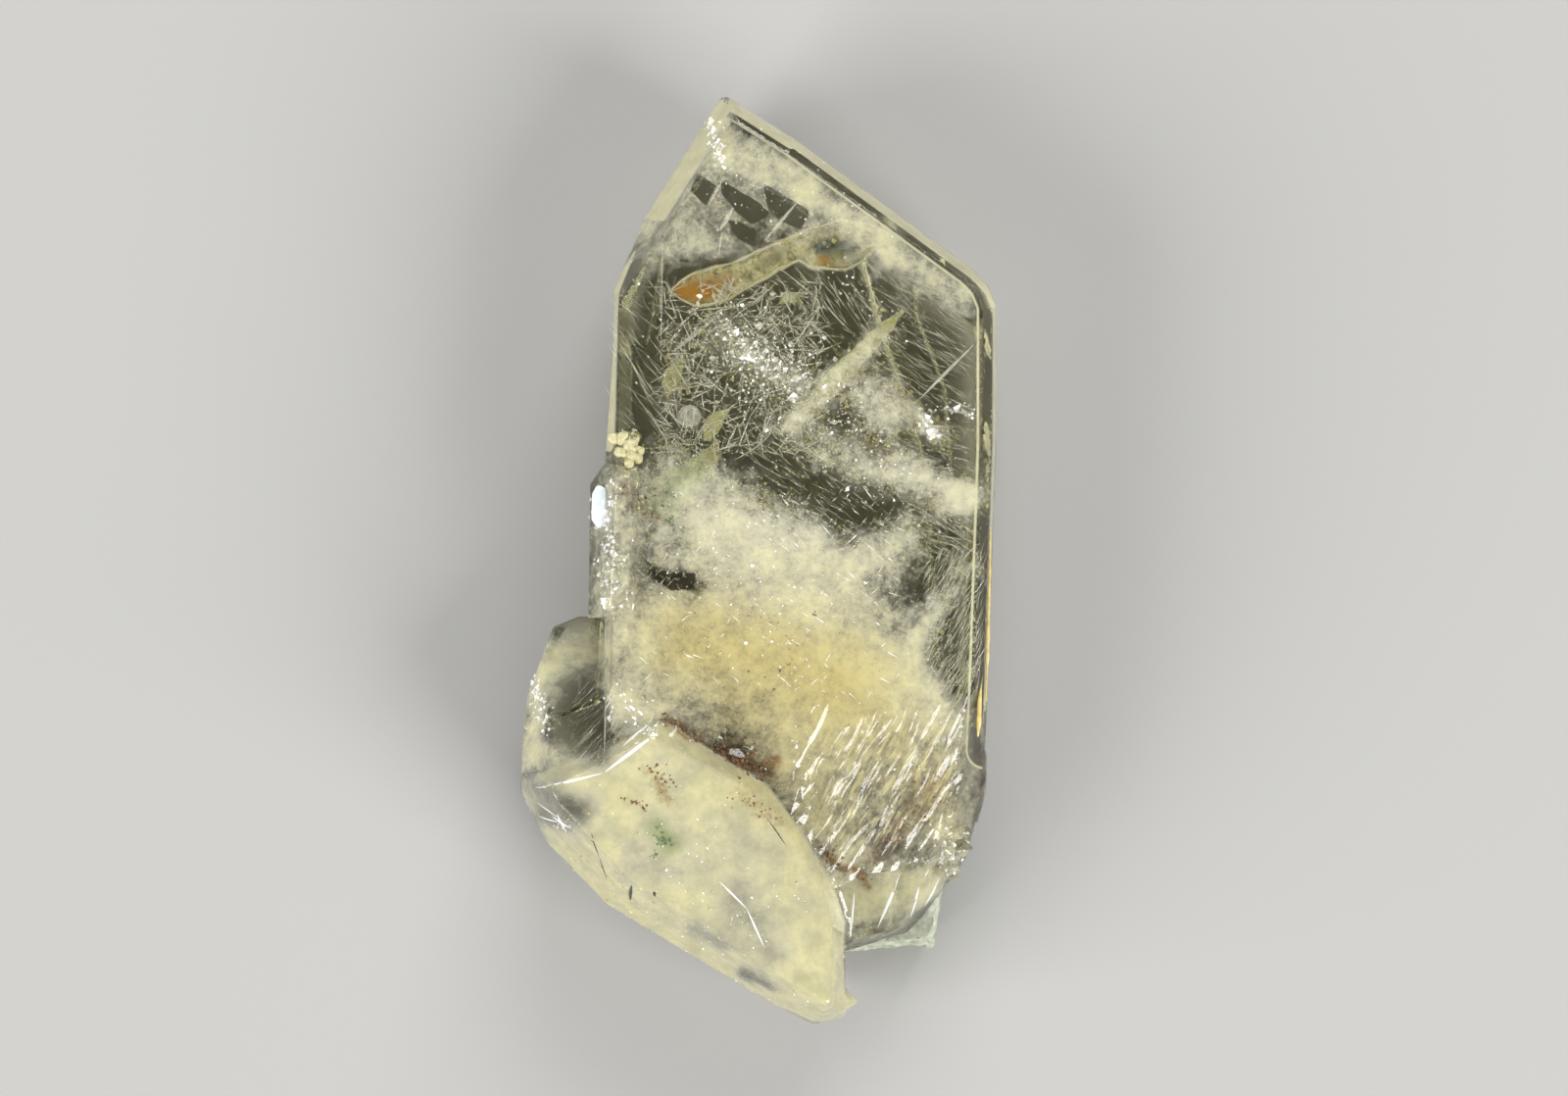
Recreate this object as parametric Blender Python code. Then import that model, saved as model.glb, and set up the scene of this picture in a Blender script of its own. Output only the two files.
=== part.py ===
"""Montebrasite: a thick tabular crystal with a milky crystal grown across its lower left.

The group lies on the broad back face of the tall crystal. +Y runs to the pointed top, +X to the right
as seen from the front, and +Z points out of the front face. Sizes below are in millimetres.

Each crystal is the space inside a set of flat faces. An outline edge has a start and an end in plan,
clockwise as seen from the front, and a profile: pairs of inset and height, from the back to the front.
Each step of a profile is one flat crystal face.
"""

import math
from itertools import pairwise

import bmesh
import bpy
from mathutils import Matrix, Vector, noise

MM = 0.001
BLOCK = 90.0  # edge of the block that the faces are cut from
TOUCH = 1e-5  # a corner this close to a cut counts as on it
REACH = 3.0  # how far a cutter runs past the face that it cuts
GAP = 0.3  # between the crystal and the matrix

# Tall crystal
THICKNESS = 11.0
ROOF_APEX = (-2.15, 26.15)
ROOF_APEX_RIGHT = (-1.8, 26.15)
LEFT_SHOULDER = (-6.45, 19.3)
LEFT_TOP = (-8.05, 15.2)
LEFT_FOOT = (-8.55, -11.4)
RIGHT_SHOULDER = (12.1, 16.35)
RIGHT_TOP = (13.4, 14.3)
RIGHT_FOOT = (12.8, -10.5)

# Milky crystal: its lower lobe is in front, and its upper lobe falls away to the upper left
MILKY_BACK = 1.1
LOBE_STEP = 0.55  # the upper lobe stays this far below the lower lobe's front
LOWER_FRONT = ((-5.4, -9.4, 12.4), (-8.5, -12.0, 13.1), (-12.6, -12.9, 13.8))
UPPER_FRONT = ((-5.4, -9.2, 12.0), (-8.5, -11.4, 12.5), (-10.4, -3.4, 7.6))
UPPER_LEFT_FRONT = ((-8.5, -11.4, 12.5), (-12.9, -12.6, 12.6), (-12.5, -6.0, 7.4))

# Matrix remnant in its notch under the lower right corner
NOTCH = [(4.4, -24.5), (4.6, -19.2), (5.9, -17.2), (8.8, -16.5), (11.6, -17.6), (14.0, -19.9), (14.0, -24.5)]
NOTCH_HEIGHT = 4.6
MATRIX_FOOT = 0.15
MATRIX_TOP = 4.25
MATRIX_MIDDLE = (7.4, -19.8, 2.2)
MATRIX_FACET = 0.8  # longest edge of its small facets
PIT_DEPTH = 0.35
PIT_WIDTH = 0.6

TALL_EDGES = [
    (LEFT_FOOT, LEFT_TOP, [(0.9, 0), (0, 1.5), (0, 9.3), (0.35, THICKNESS)]),
    (LEFT_TOP, LEFT_SHOULDER, [(1.2, 0), (0, 1.9), (0, 9.5), (0.5, THICKNESS)]),
    (LEFT_SHOULDER, ROOF_APEX, [(1.4, 0), (0, 2.6), (0, 7.4), (1.6, THICKNESS)]),
    (ROOF_APEX, ROOF_APEX_RIGHT, [(1.0, 0), (0, 2.4), (0, 8.6), (0.6, THICKNESS)]),
    (ROOF_APEX_RIGHT, (2.2, 23.6), [(2.9, 0), (0, 4.6), (0, 8.9), (0.55, 10.6), (1.1, THICKNESS)]),
    ((2.2, 23.6), RIGHT_SHOULDER, [(2.8, 0), (0, 4.4), (0, 8.9), (0.55, 10.6), (1.1, THICKNESS)]),
    (RIGHT_SHOULDER, (12.9, 15.5), [(2.4, 0), (0, 3.6), (0, 8.9), (0.6, 10.6), (1.1, THICKNESS)]),
    ((12.9, 15.5), RIGHT_TOP, [(2.0, 0), (0, 3.2), (0, 8.9), (0.6, 10.6), (1.1, THICKNESS)]),
    (RIGHT_TOP, (13.4, 6.5), [(1.5, 0), (0, 2.6), (0, 8.6), (0.3, 10.3), (1.0, THICKNESS)]),
    ((13.4, 6.5), RIGHT_FOOT, [(1.5, 0), (0, 2.6), (0, 8.3), (0.35, 10.2), (1.0, THICKNESS)]),
    ((12.65, -13.4), (11.75, -16.9), [(1.0, 0), (0, 2.0), (0, 6.6), (1.9, 10.2)]),
    ((11.75, -16.9), (9.35, -20.2), [(1.0, 0), (0, 2.0), (0, 6.2), (1.6, 9.6)]),
    ((9.35, -20.2), (8.5, -21.1), [(0.6, 0), (0, 1.5), (0, 5.6), (0.5, 6.8)]),
    ((8.5, -21.1), (4.6, -22.3), [(0.6, 0), (0, 1.5), (0, 5.8), (0.5, 7.4)]),
    ((4.6, -22.3), (-3.0, -20.8), [(1.2, 0), (0, 1.8), (0, THICKNESS)]),
    ((-3.0, -20.8), LEFT_FOOT, [(1.2, 0), (0, 1.8), (0, THICKNESS)]),
]
RIGHT_VICINAL = ((-1.0, 21.0, THICKNESS), (8.0, -8.0, THICKNESS), (12.5, 10.0, 10.86))

# Growth plates on the side walls, which step the outline
PLATES = [
    [
        ((-8.62, -10.0), (-8.55, 5.6), [(1.2, 2.2), (0, 3.2), (0, 9.6), (0.5, 10.6)]),
        ((-8.55, 5.6), (-8.1, 11.8), [(1.0, 2.2), (0, 3.2), (0, 9.6), (0.5, 10.6)]),
        ((-8.1, 11.8), (-5.0, 11.0), [(0, 2.2), (0, 10.6)]),
        ((-5.0, 11.0), (-5.0, -10.0), [(0, 2.2), (0, 10.6)]),
        ((-5.0, -10.0), (-8.62, -10.0), [(0, 2.2), (0, 10.6)]),
    ],
    [
        ((12.3, -9.0), (12.86, -10.9), [(0, 2.6), (0, 4.4), (0, 9.2), (0.7, 10.4)]),
        ((12.86, -10.9), (12.86, -12.95), [(0.9, 2.6), (0, 4.4), (0, 8.2), (1.2, 10.2)]),
        ((12.86, -12.95), (12.4, -14.7), [(0.8, 2.6), (0, 4.2), (0, 7.8), (1.5, 10.2)]),
        ((12.4, -14.7), (9.0, -15.2), [(0.4, 2.6), (0, 4.2), (0, 9.4), (0.5, 10.2)]),
        ((9.0, -15.2), (9.0, -9.6), [(0, 2.6), (0, 10.2)]),
        ((9.0, -9.6), (12.3, -9.0), [(0, 2.6), (0, 10.2)]),
    ],
]

LOWER_LOBE = [
    ((4.6, -25.75), (3.05, -26.15), [(0.8, 1.1), (0, 3.0), (0, 8.0), (1.3, 12.0)]),
    ((3.05, -26.15), (0.7, -24.95), [(0.9, 1.1), (0, 3.2), (0, 7.2), (1.8, 12.4)]),
    ((0.7, -24.95), (-8.55, -19.35), [(1.8, 1.1), (0, 4.2), (0, 7.6), (2.2, 12.9)]),
    ((-8.55, -19.35), (-11.8, -16.0), [(1.9, 1.1), (0, 4.4), (0, 7.6), (2.3, 13.2)]),
    ((-11.8, -16.0), (-13.4, -13.0), [(1.6, 1.1), (0, 4.2), (0, 8.2), (1.9, 13.2)]),
    ((-13.35, -13.2), (-13.4, -12.2), [(1.2, 1.1), (0, 3.6), (0, 8.2), (1.6, 13.0)]),
    ((-13.4, -12.2), (-5.0, -8.9), [(0, 3.0), (0, 11.6), (0.8, 13.2)]),
    ((-5.0, -8.9), (0.6, -12.4), [(0, 3.0), (0, 10.8), (0.9, 12.2)]),
    ((0.6, -12.4), (2.6, -15.1), [(0, 3.0), (0, 10.8), (0.8, 12.1)]),
    ((2.6, -15.1), (4.2, -18.0), [(0, 3.0), (0, 10.6), (0.8, 12.1)]),
    ((4.2, -18.0), (4.9, -20.2), [(0, 3.0), (0, 10.2), (0.8, 12.1)]),
    ((4.9, -20.2), (4.9, -25.3), [(0.7, 1.1), (0, 2.6), (0, 9.4), (0.9, 12.2)]),
]
UPPER_LOBE = [
    ((-13.4, -12.6), (-13.1, -7.8), [(1.2, 1.9), (0, 3.6), (0, 8.0), (1.3, 10.9)]),
    ((-13.1, -7.8), (-11.65, -3.75), [(1.2, 1.9), (0, 3.4), (0, 6.9), (1.0, 8.6)]),
    ((-11.65, -3.75), (-10.2, -3.15), [(0.9, 1.9), (0, 3.0), (0, 6.6), (0.6, 7.6)]),
    ((-10.2, -3.15), (-6.4, -3.5), [(0.9, 1.9), (0, 3.0), (0, 9.0)]),
    ((-6.4, -3.5), (-4.4, -9.2), [(0, 1.9), (0, 12.6)]),
    ((-4.4, -9.2), (-6.0, -13.4), [(0, 1.9), (0, 12.6)]),
    ((-6.0, -13.4), (-12.4, -14.6), [(0, 1.9), (0, 12.6)]),
    ((-12.4, -14.6), (-13.4, -12.6), [(1.2, 1.9), (0, 3.6), (0, 7.4), (1.4, 11.6)]),
]

SIDE_CRYSTAL = [
    ((-9.5, -3.2), (-9.4, 4.3), [(1.0, 2.6), (0, 4.4), (0, 9.4), (1.3, 11.7)]),
    ((-9.4, 4.3), (-8.5, 5.5), [(0.8, 2.6), (0, 4.4), (0, 10.2), (1.0, 12.0)]),
    ((-8.5, 5.5), (-6.6, 5.3), [(0.8, 2.6), (0, 4.4), (0, 10.8), (0.6, 12.0)]),
    ((-6.6, 5.3), (-6.3, 1.4), [(0, 2.6), (0, 10.6), (0.5, 11.9)]),
    ((-6.3, 1.4), (-6.7, -2.8), [(0, 2.6), (0, 10.6), (0.6, 11.8)]),
    ((-6.7, -2.8), (-9.5, -3.2), [(0, 2.6), (0, 11.0), (0.9, 12.0)]),
]
SIDE_FRONT = ((-7.2, 3.8, 12.2), (-7.1, -2.0, 11.9), (-8.6, 0.5, 11.7))

# Free sides of the matrix; the other sides follow the notch
MATRIX_EDGES = [
    ((10.75, -18.0), (10.35, -21.3), [(0.5, MATRIX_FOOT), (0, 0.9), (0, 3.6), (0.4, MATRIX_TOP)]),
    ((10.35, -21.3), (9.9, -22.15), [(0.5, MATRIX_FOOT), (0, 0.9), (0, 3.4), (0.5, MATRIX_TOP)]),
    ((9.9, -22.15), (4.9, -22.55), [(0.6, MATRIX_FOOT), (0, 1.0), (0, 3.2), (0.6, MATRIX_TOP)]),
]
KNOB = (9.75, -21.9, 2.9)
KNOB_RADIUS = 0.42

# Etched front of the tall crystal, low on its right: a grid along and across its ridges
ETCH_MIDDLE = (7.3, -13.4)
ETCH_TOP = -7.2
ETCH_LEFT = 1.6
ETCH_DEPTH = 0.85
ETCH_FADE_DOWN = 5.0  # the etching deepens over this length below its top
ETCH_FADE_RIGHT = 1.5  # and over this length from its left
ETCH_LEAST = 0.45  # share of the depth at the upper left end of ETCH_DIAGONAL
ETCH_DIAGONAL = (15.0, 29.0)  # from x - y here to x - y there
ETCH_CLEARANCE = 0.08  # where nothing is etched, the cutter passes this far above the face
RIDGE_ANGLE = math.radians(60)
RIDGE_PITCH = 0.95
RIDGE_HEIGHT = 0.17
RIDGE_SWELL = 1.1  # how much the height of a ridge varies along it
RIDGE_WAVER = 0.5  # how far it strays sideways, as a share of the pitch
RIDGES = 15
RIDGE_LENGTH = 17.0
RIDGE_STEPS = 20

# Terraces below the etched front: height at the upper and the lower end, and plan corners
TERRACES = [
    (9.6, 6.4, [(3.6, -18.6), (5.9, -17.5), (8.4, -17.15), (8.7, -17.8), (7.2, -24.5), (2.6, -24.5)]),
    (9.2, 5.9, [(7.95, -16.95), (9.2, -16.75), (10.2, -17.55), (10.5, -18.3), (9.5, -24.7), (6.5, -24.7)]),
    (8.5, 4.9, [(9.75, -17.0), (10.9, -17.1), (12.9, -19.0), (12.0, -24.9), (8.9, -24.9)]),
]

# Lumps: middle and radii
CREAM_LUMPS = [
    ((-7.55, 6.85, 11.05), (0.42, 0.42, 0.4)),
    ((-7.0, 6.95, 11.05), (0.34, 0.36, 0.34)),
    ((-7.2, 6.4, 11.1), (0.45, 0.42, 0.42)),
    ((-6.9, 5.9, 11.0), (0.36, 0.4, 0.36)),
    ((-7.6, 6.15, 10.95), (0.36, 0.36, 0.36)),
]
CORNER_LUMPS = [
    ((11.15, -15.1, 9.0), (0.85, 0.6, 0.6)),
    ((10.45, -16.1, 9.2), (0.6, 0.8, 0.6)),
    ((11.3, -16.2, 7.9), (0.6, 0.8, 0.8)),
    ((10.5, -17.2, 7.9), (0.8, 0.6, 0.7)),
    ((10.9, -17.5, 6.3), (0.7, 0.6, 0.9)),
]

# Chips: middle, radii and turn about Z in degrees
CHIPS = [
    ((-1.75, 23.9, 11.55), (0.65, 1.9, 0.95), -14),
    ((-2.9, 25.3, 10.2), (0.55, 0.7, 0.6), -30),
    ((-8.8, 13.4, 10.4), (0.5, 0.9, 1.2), 2),
    ((13.75, 6.6, 9.9), (0.5, 0.9, 1.4), 8),
    ((-1.2, -10.3, 11.75), (1.7, 0.8, 1.1), -28),
    ((4.95, -23.2, 11.9), (0.5, 0.8, 1.4), 0),
    ((3.0, -26.4, 4.2), (2.6, 1.0, 2.2), 8),
]

# Growth steps on the back: plan corners and depth
BACK_STEPS = [
    ([(4.2, 24.0), (16.0, 15.0), (16.0, -8.5), (10.3, -6.0), (9.2, 6.5), (6.6, 14.5)], 0.35),
    ([(9.0, 24.0), (16.0, 15.0), (16.0, 0.5), (11.2, 2.0), (10.6, 9.8), (8.9, 14.2)], 0.7),
    ([(-12.0, -6.4), (-4.4, -9.9), (-2.3, -15.2), (1.3, -24.0), (-12.0, -24.0)], 0.45),
    ([(-12.0, 13.0), (-6.4, 12.2), (-5.6, 16.8), (-4.0, 20.4), (-8.0, 24.0), (-12.0, 20.0)], 0.3),
]

SPUR = [
    (4.5, -23.5, 9.3),
    (5.65, -24.75, 8.7),
    (4.6, -25.5, 9.0),
    (4.3, -24.5, 11.2),
    (4.4, -24.6, 6.6),
    (3.6, -24.4, 9.0),
]


def clear_scene():
    for item in list(bpy.data.objects):
        bpy.data.objects.remove(item, do_unlink=True)


def material(name, rgb, roughness, transmission=0.0, ior=1.5):
    mat = bpy.data.materials.new(name)
    mat.use_nodes = True
    shader = mat.node_tree.nodes["Principled BSDF"]
    shader.inputs["Base Color"].default_value = (*rgb, 1.0)
    shader.inputs["Roughness"].default_value = roughness
    shader.inputs["Metallic"].default_value = 0.0
    shader.inputs["Transmission Weight"].default_value = transmission
    shader.inputs["IOR"].default_value = ior
    mat.diffuse_color = (*rgb, 1.0)
    return mat


def link_mesh(name, bm, mat=None):
    """Turn a bmesh in millimetres into an object in metres."""
    bmesh.ops.recalc_face_normals(bm, faces=bm.faces[:])
    bmesh.ops.transform(bm, matrix=Matrix.Scale(MM, 4), verts=bm.verts[:])
    mesh = bpy.data.meshes.new(name)
    bm.to_mesh(mesh)
    bm.free()
    obj = bpy.data.objects.new(name, mesh)
    bpy.context.scene.collection.objects.link(obj)
    if mat:
        mesh.materials.append(mat)
    return obj


def helper(name, bm):
    """An object that only cuts or joins another one."""
    obj = link_mesh(name, bm)
    obj.hide_render = True
    obj.display_type = "WIRE"
    return obj


def combine(target, tool, operation):
    boolean = target.modifiers.new(f"{operation.lower()}_{tool.name}", "BOOLEAN")
    boolean.operation = operation
    boolean.solver = "EXACT"
    boolean.object = tool


def edge_planes(edges):
    """A point and an outward normal for each step of each edge's profile."""
    planes = []
    for start, end, profile in edges:
        run = Vector((end[0] - start[0], end[1] - start[1], 0)).normalized()
        inward = Vector((run.y, -run.x, 0))
        for (inset, height), (next_inset, next_height) in pairwise(profile):
            foot = Vector((*start, height)) + inward * inset
            rise = inward * (next_inset - inset) + Vector((0, 0, next_height - height))
            planes.append((foot, rise.cross(run).normalized()))
    return planes


def plane_through(a, b, c):
    """The plane through three points, with its normal towards the front."""
    a = Vector(a)
    normal = (Vector(b) - a).cross(Vector(c) - a).normalized()
    if normal.z < 0:
        normal = -normal
    return a, normal


def lowest(edges):
    return min(height for _, _, profile in edges for _, height in profile)


def highest(edges):
    return max(height for _, _, profile in edges for _, height in profile)


def flat(height, direction):
    return Vector((0, 0, height)), Vector((0, 0, direction))


def crystal(planes):
    """Cut a block by each plane in turn and close the cut with one flat face."""
    bm = bmesh.new()
    bmesh.ops.create_cube(bm, size=BLOCK)
    for point, normal in planes:
        cut = bmesh.ops.bisect_plane(
            bm,
            geom=bm.verts[:] + bm.edges[:] + bm.faces[:],
            dist=TOUCH,
            plane_co=point,
            plane_no=normal,
            clear_outer=True,
        )
        rim = [item for item in cut["geom_cut"] if isinstance(item, bmesh.types.BMEdge)]
        bmesh.ops.holes_fill(bm, edges=rim, sides=0)
    return bm


def prism(corners, bottoms, tops):
    """An upright block over plan corners, with a bottom and a top height for each corner."""
    bm = bmesh.new()
    low = [bm.verts.new((x, y, z)) for (x, y), z in zip(corners, bottoms)]
    high = [bm.verts.new((x, y, z)) for (x, y), z in zip(corners, tops)]
    bm.faces.new(low)
    bm.faces.new(high)
    for i in range(len(corners)):
        j = (i + 1) % len(corners)
        bm.faces.new((low[i], low[j], high[j], high[i]))
    return bm


def lump(bm, centre, radii, turn=0.0, rough=0.0, detail=2):
    """Add a ball scaled to radii and turned about Z; rough is the share by which its radius varies."""
    ball = bmesh.ops.create_icosphere(bm, subdivisions=detail, radius=1.0)["verts"]
    for vert in ball:
        vert.co *= 1 + rough * noise.noise(vert.co * 1.7 + Vector(centre))
    place = Matrix.Translation(centre) @ Matrix.Rotation(math.radians(turn), 4, "Z")
    bmesh.ops.transform(bm, matrix=place @ Matrix.Diagonal((*radii, 1.0)), verts=ball)


def share(value):
    return min(max(value, 0.0), 1.0)


def etched_height(x, y, crest):
    """Front height where the face is etched: it sinks to the lower right, and crest lifts or lowers it."""
    fade_in = share((ETCH_TOP - y) / ETCH_FADE_DOWN) * share((x - ETCH_LEFT) / ETCH_FADE_RIGHT)
    start, end = ETCH_DIAGONAL
    down_right = share((x - y - start) / (end - start))
    sink = ETCH_DEPTH * (ETCH_LEAST + (1 - ETCH_LEAST) * down_right)
    return THICKNESS + ETCH_CLEARANCE * (1 - fade_in) + fade_in * (RIDGE_HEIGHT * crest - sink)


def etched_cutter():
    """The space above the etched face: a grid along and across the ridges, with crests in every other row."""
    bm = bmesh.new()
    along = Vector((math.cos(RIDGE_ANGLE), math.sin(RIDGE_ANGLE)))
    across = Vector((along.y, -along.x))
    grid = []
    for row in range(2 * RIDGES + 1):
        line = []
        for step in range(RIDGE_STEPS + 1):
            place = Vector(ETCH_MIDDLE)
            place += along * RIDGE_LENGTH * (step / RIDGE_STEPS - 0.5)
            waver = RIDGE_WAVER * noise.noise(Vector((0.4 * step, 0.2 * row, 1.7)))
            place += across * RIDGE_PITCH * ((row - RIDGES) / 2 + waver)
            swell = 0.75 + RIDGE_SWELL * noise.noise(Vector((0.4 * step, 1.3 * row, 5.0)))
            crest = (1 if row % 2 else -1) * max(swell, 0.1)
            line.append(bm.verts.new((*place, etched_height(*place, crest))))
        grid.append(line)
    for near, far in pairwise(grid):
        for (a, b), (c, d) in zip(pairwise(near), pairwise(far)):
            bm.faces.new((a, b, d, c))
    rim = [edge for edge in bm.edges if edge.is_boundary]
    raised = bmesh.ops.extrude_edge_only(bm, edges=rim)["geom"]
    for item in raised:
        if isinstance(item, bmesh.types.BMVert):
            item.co.z = THICKNESS + REACH
    bmesh.ops.holes_fill(bm, edges=[e for e in bm.edges if e.is_boundary], sides=0)
    bmesh.ops.triangulate(bm, faces=bm.faces[:])
    return bm


def tall_crystal(mat):
    planes = edge_planes(TALL_EDGES) + [flat(0, -1), flat(THICKNESS, 1), plane_through(*RIGHT_VICINAL)]
    obj = link_mesh("montebrasite_crystal", crystal(planes), mat)
    combine(obj, helper("etched_front", etched_cutter()), "DIFFERENCE")
    for number, (upper_height, lower_height, corners) in enumerate(TERRACES):
        upper = max(y for _, y in corners)
        lower = min(y for _, y in corners)
        fall = (upper_height - lower_height) / (upper - lower)
        bottoms = [lower_height + fall * (y - lower) for _, y in corners]
        cutter = prism(corners, bottoms, [THICKNESS + REACH] * len(corners))
        combine(obj, helper(f"terrace_{number}", cutter), "DIFFERENCE")
    for number, (corners, depth) in enumerate(BACK_STEPS):
        cutter = prism(corners, [-REACH] * len(corners), [depth] * len(corners))
        combine(obj, helper(f"back_step_{number}", cutter), "DIFFERENCE")
    return obj


def lower_lobe():
    return crystal(edge_planes(LOWER_LOBE) + [flat(MILKY_BACK, -1), plane_through(*LOWER_FRONT)])


def upper_lobe():
    point, normal = plane_through(*LOWER_FRONT)
    below = (point - Vector((0, 0, LOBE_STEP)), normal)
    fronts = [plane_through(*UPPER_FRONT), plane_through(*UPPER_LEFT_FRONT), below]
    return crystal(edge_planes(UPPER_LOBE) + [flat(lowest(UPPER_LOBE), -1), *fronts])


def side_crystal():
    return crystal(edge_planes(SIDE_CRYSTAL) + [flat(lowest(SIDE_CRYSTAL), -1), plane_through(*SIDE_FRONT)])


def plate(edges):
    return crystal(edge_planes(edges) + [flat(lowest(edges), -1), flat(highest(edges), 1)])


def spur():
    bm = bmesh.new()
    corners = [bm.verts.new(point) for point in SPUR]
    bmesh.ops.convex_hull(bm, input=corners)
    return bm


def montebrasite():
    clear_pale = material("pale straw montebrasite", (0.80, 0.76, 0.50), 0.08, transmission=0.7, ior=1.60)
    obj = tall_crystal(clear_pale)
    for number, edges in enumerate(PLATES):
        combine(obj, helper(f"growth_plate_{number}", plate(edges)), "UNION")
    combine(obj, helper("milky_lower_lobe", lower_lobe()), "UNION")
    combine(obj, helper("milky_upper_lobe", upper_lobe()), "UNION")
    combine(obj, helper("side_crystal", side_crystal()), "UNION")
    combine(obj, helper("spur", spur()), "UNION")
    for number, (centre, radii) in enumerate(CREAM_LUMPS):
        bm = bmesh.new()
        lump(bm, centre, radii, rough=0.2)
        combine(obj, helper(f"cream_lump_{number}", bm), "UNION")
    for number, (centre, radii) in enumerate(CORNER_LUMPS):
        bm = bmesh.new()
        lump(bm, centre, radii, turn=40 * number, rough=0.45, detail=1)
        combine(obj, helper(f"corner_lump_{number}", bm), "UNION")
    for number, (centre, radii, turn) in enumerate(CHIPS):
        bm = bmesh.new()
        lump(bm, centre, radii, turn, rough=0.15)
        combine(obj, helper(f"chip_{number}", bm), "DIFFERENCE")
    cutter = prism(NOTCH, [-REACH] * len(NOTCH), [NOTCH_HEIGHT] * len(NOTCH))
    combine(obj, helper("matrix_notch", cutter), "DIFFERENCE")
    return obj


def matrix_remnant():
    """Granular grey-white remnant: its free faces are pitted, and the faces in the notch stay flat."""
    stone = material("grey white granular matrix", (0.55, 0.60, 0.56), 0.85)
    hidden = [(start, end, [(GAP, MATRIX_FOOT), (GAP, MATRIX_TOP)]) for start, end in pairwise(NOTCH[:5])]
    planes = edge_planes(hidden + MATRIX_EDGES) + [flat(MATRIX_FOOT, -1), flat(MATRIX_TOP, 1)]
    bm = crystal(planes)
    bmesh.ops.triangulate(bm, faces=bm.faces[:])
    for _ in range(3):
        long_edges = [edge for edge in bm.edges if edge.calc_length() > MATRIX_FACET]
        bmesh.ops.subdivide_edges(bm, edges=long_edges, cuts=1)
        bmesh.ops.triangulate(bm, faces=bm.faces[:])
    right, foot = MATRIX_EDGES[1][0][0], MATRIX_EDGES[1][1][1]
    for vert in bm.verts:
        if vert.co.x > right - GAP or vert.co.y < foot + GAP:
            pit = PIT_DEPTH * (0.5 + 0.5 * noise.noise(vert.co / PIT_WIDTH))
            vert.co += (Vector(MATRIX_MIDDLE) - vert.co).normalized() * pit
    obj = link_mesh("matrix_remnant", bm, stone)
    knob = bmesh.new()
    lump(knob, KNOB, (KNOB_RADIUS, KNOB_RADIUS, KNOB_RADIUS), rough=0.2)
    combine(obj, helper("matrix_knob", knob), "UNION")
    return obj


def main():
    clear_scene()
    montebrasite()
    matrix_remnant()


main()
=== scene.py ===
"""The looks of a loose montebrasite specimen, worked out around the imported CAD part.

Sizes and places are in millimetres in the part's frame: x to the right, y to the pointed top and z out of
the broad front. Meshes are scaled to metres when they are made.
"""

import math

import bmesh
import bpy
import numpy as np
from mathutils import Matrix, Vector
from mathutils.bvhtree import BVHTree


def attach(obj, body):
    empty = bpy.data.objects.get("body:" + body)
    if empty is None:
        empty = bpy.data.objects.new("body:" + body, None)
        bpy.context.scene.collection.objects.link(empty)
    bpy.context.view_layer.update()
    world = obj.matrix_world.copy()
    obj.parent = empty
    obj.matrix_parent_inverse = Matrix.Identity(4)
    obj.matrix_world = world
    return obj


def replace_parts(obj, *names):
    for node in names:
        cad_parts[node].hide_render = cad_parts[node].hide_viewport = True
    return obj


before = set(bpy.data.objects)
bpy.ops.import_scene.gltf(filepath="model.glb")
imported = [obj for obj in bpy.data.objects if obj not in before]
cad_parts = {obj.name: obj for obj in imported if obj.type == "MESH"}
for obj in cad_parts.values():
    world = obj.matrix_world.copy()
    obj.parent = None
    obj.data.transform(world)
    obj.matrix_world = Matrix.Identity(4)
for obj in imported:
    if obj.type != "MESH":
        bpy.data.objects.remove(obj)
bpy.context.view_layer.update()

MM = 0.001
CRYSTAL = "montebrasite_crystal"
MATRIX = "matrix_remnant"
BODY = "root"
FRONT = 11.0  # height of the tall crystal's front face
FAR = 99.0  # farther than anything on the specimen
UP = np.array((0, 0, 1.0))

# Longest edge of the crystal body on the etched front, on the rest of the front, and elsewhere
ETCHED_FACET = 0.12
FRONT_FACET = 0.32
SIDE_FACET = 0.65
HALVINGS = 9
FRONT_ZONE = 9.5  # faces of the front lie above this height
MERGE_GAP = 2e-4
FLAT_ANGLE = math.radians(0.2)
CREASE_ANGLE = math.radians(7)
SHARP_ANGLE = math.radians(33)
CREASE_ROUNDS = 14
CREASE_REACH = 0.9  # nearer than this to a crease, relief is held back

# Growth relief: height, size and seed of its noise, even, drawn out along the crystal, and milky
EVEN_GROWTH = (0.014, 3.1, 51)
LONG_GROWTH = (0.006, 0.9, 52)
MILKY_GROWTH = (0.045, 2.3, 53)

# Roughness of the glassy faces, and what the dull back and the etched stretch add to it
GLASSY = 0.02
BACK_ROUGHNESS = 0.42
ETCHED_ROUGHNESS = 0.18
BACK_ZONE = 2.1  # below this height the faces grow dull towards the back
BACK_FADE = 1.1

# The etched stretch of the front, low on the right, and the run of its ridges
ETCHED_AREA = [
    (1.9, -7.4), (12.3, -7.4), (12.2, -12.6), (9.9, -16.6), (5.9, -17.2), (3.9, -18.1), (2.6, -14.9),
]
ETCHED_FADE = 1.6
RIDGE_ANGLE = math.radians(60)
RIDGE_PITCH = 0.6
RIDGE_HEIGHT = 0.15
RIDGE_STRETCH = 4.6  # how much longer a ridge is than it is wide

# Points along each side of the noise's lattice, and how fast a stroke fades away from its line
LATTICE = 32
BELL = 0.7

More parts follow.
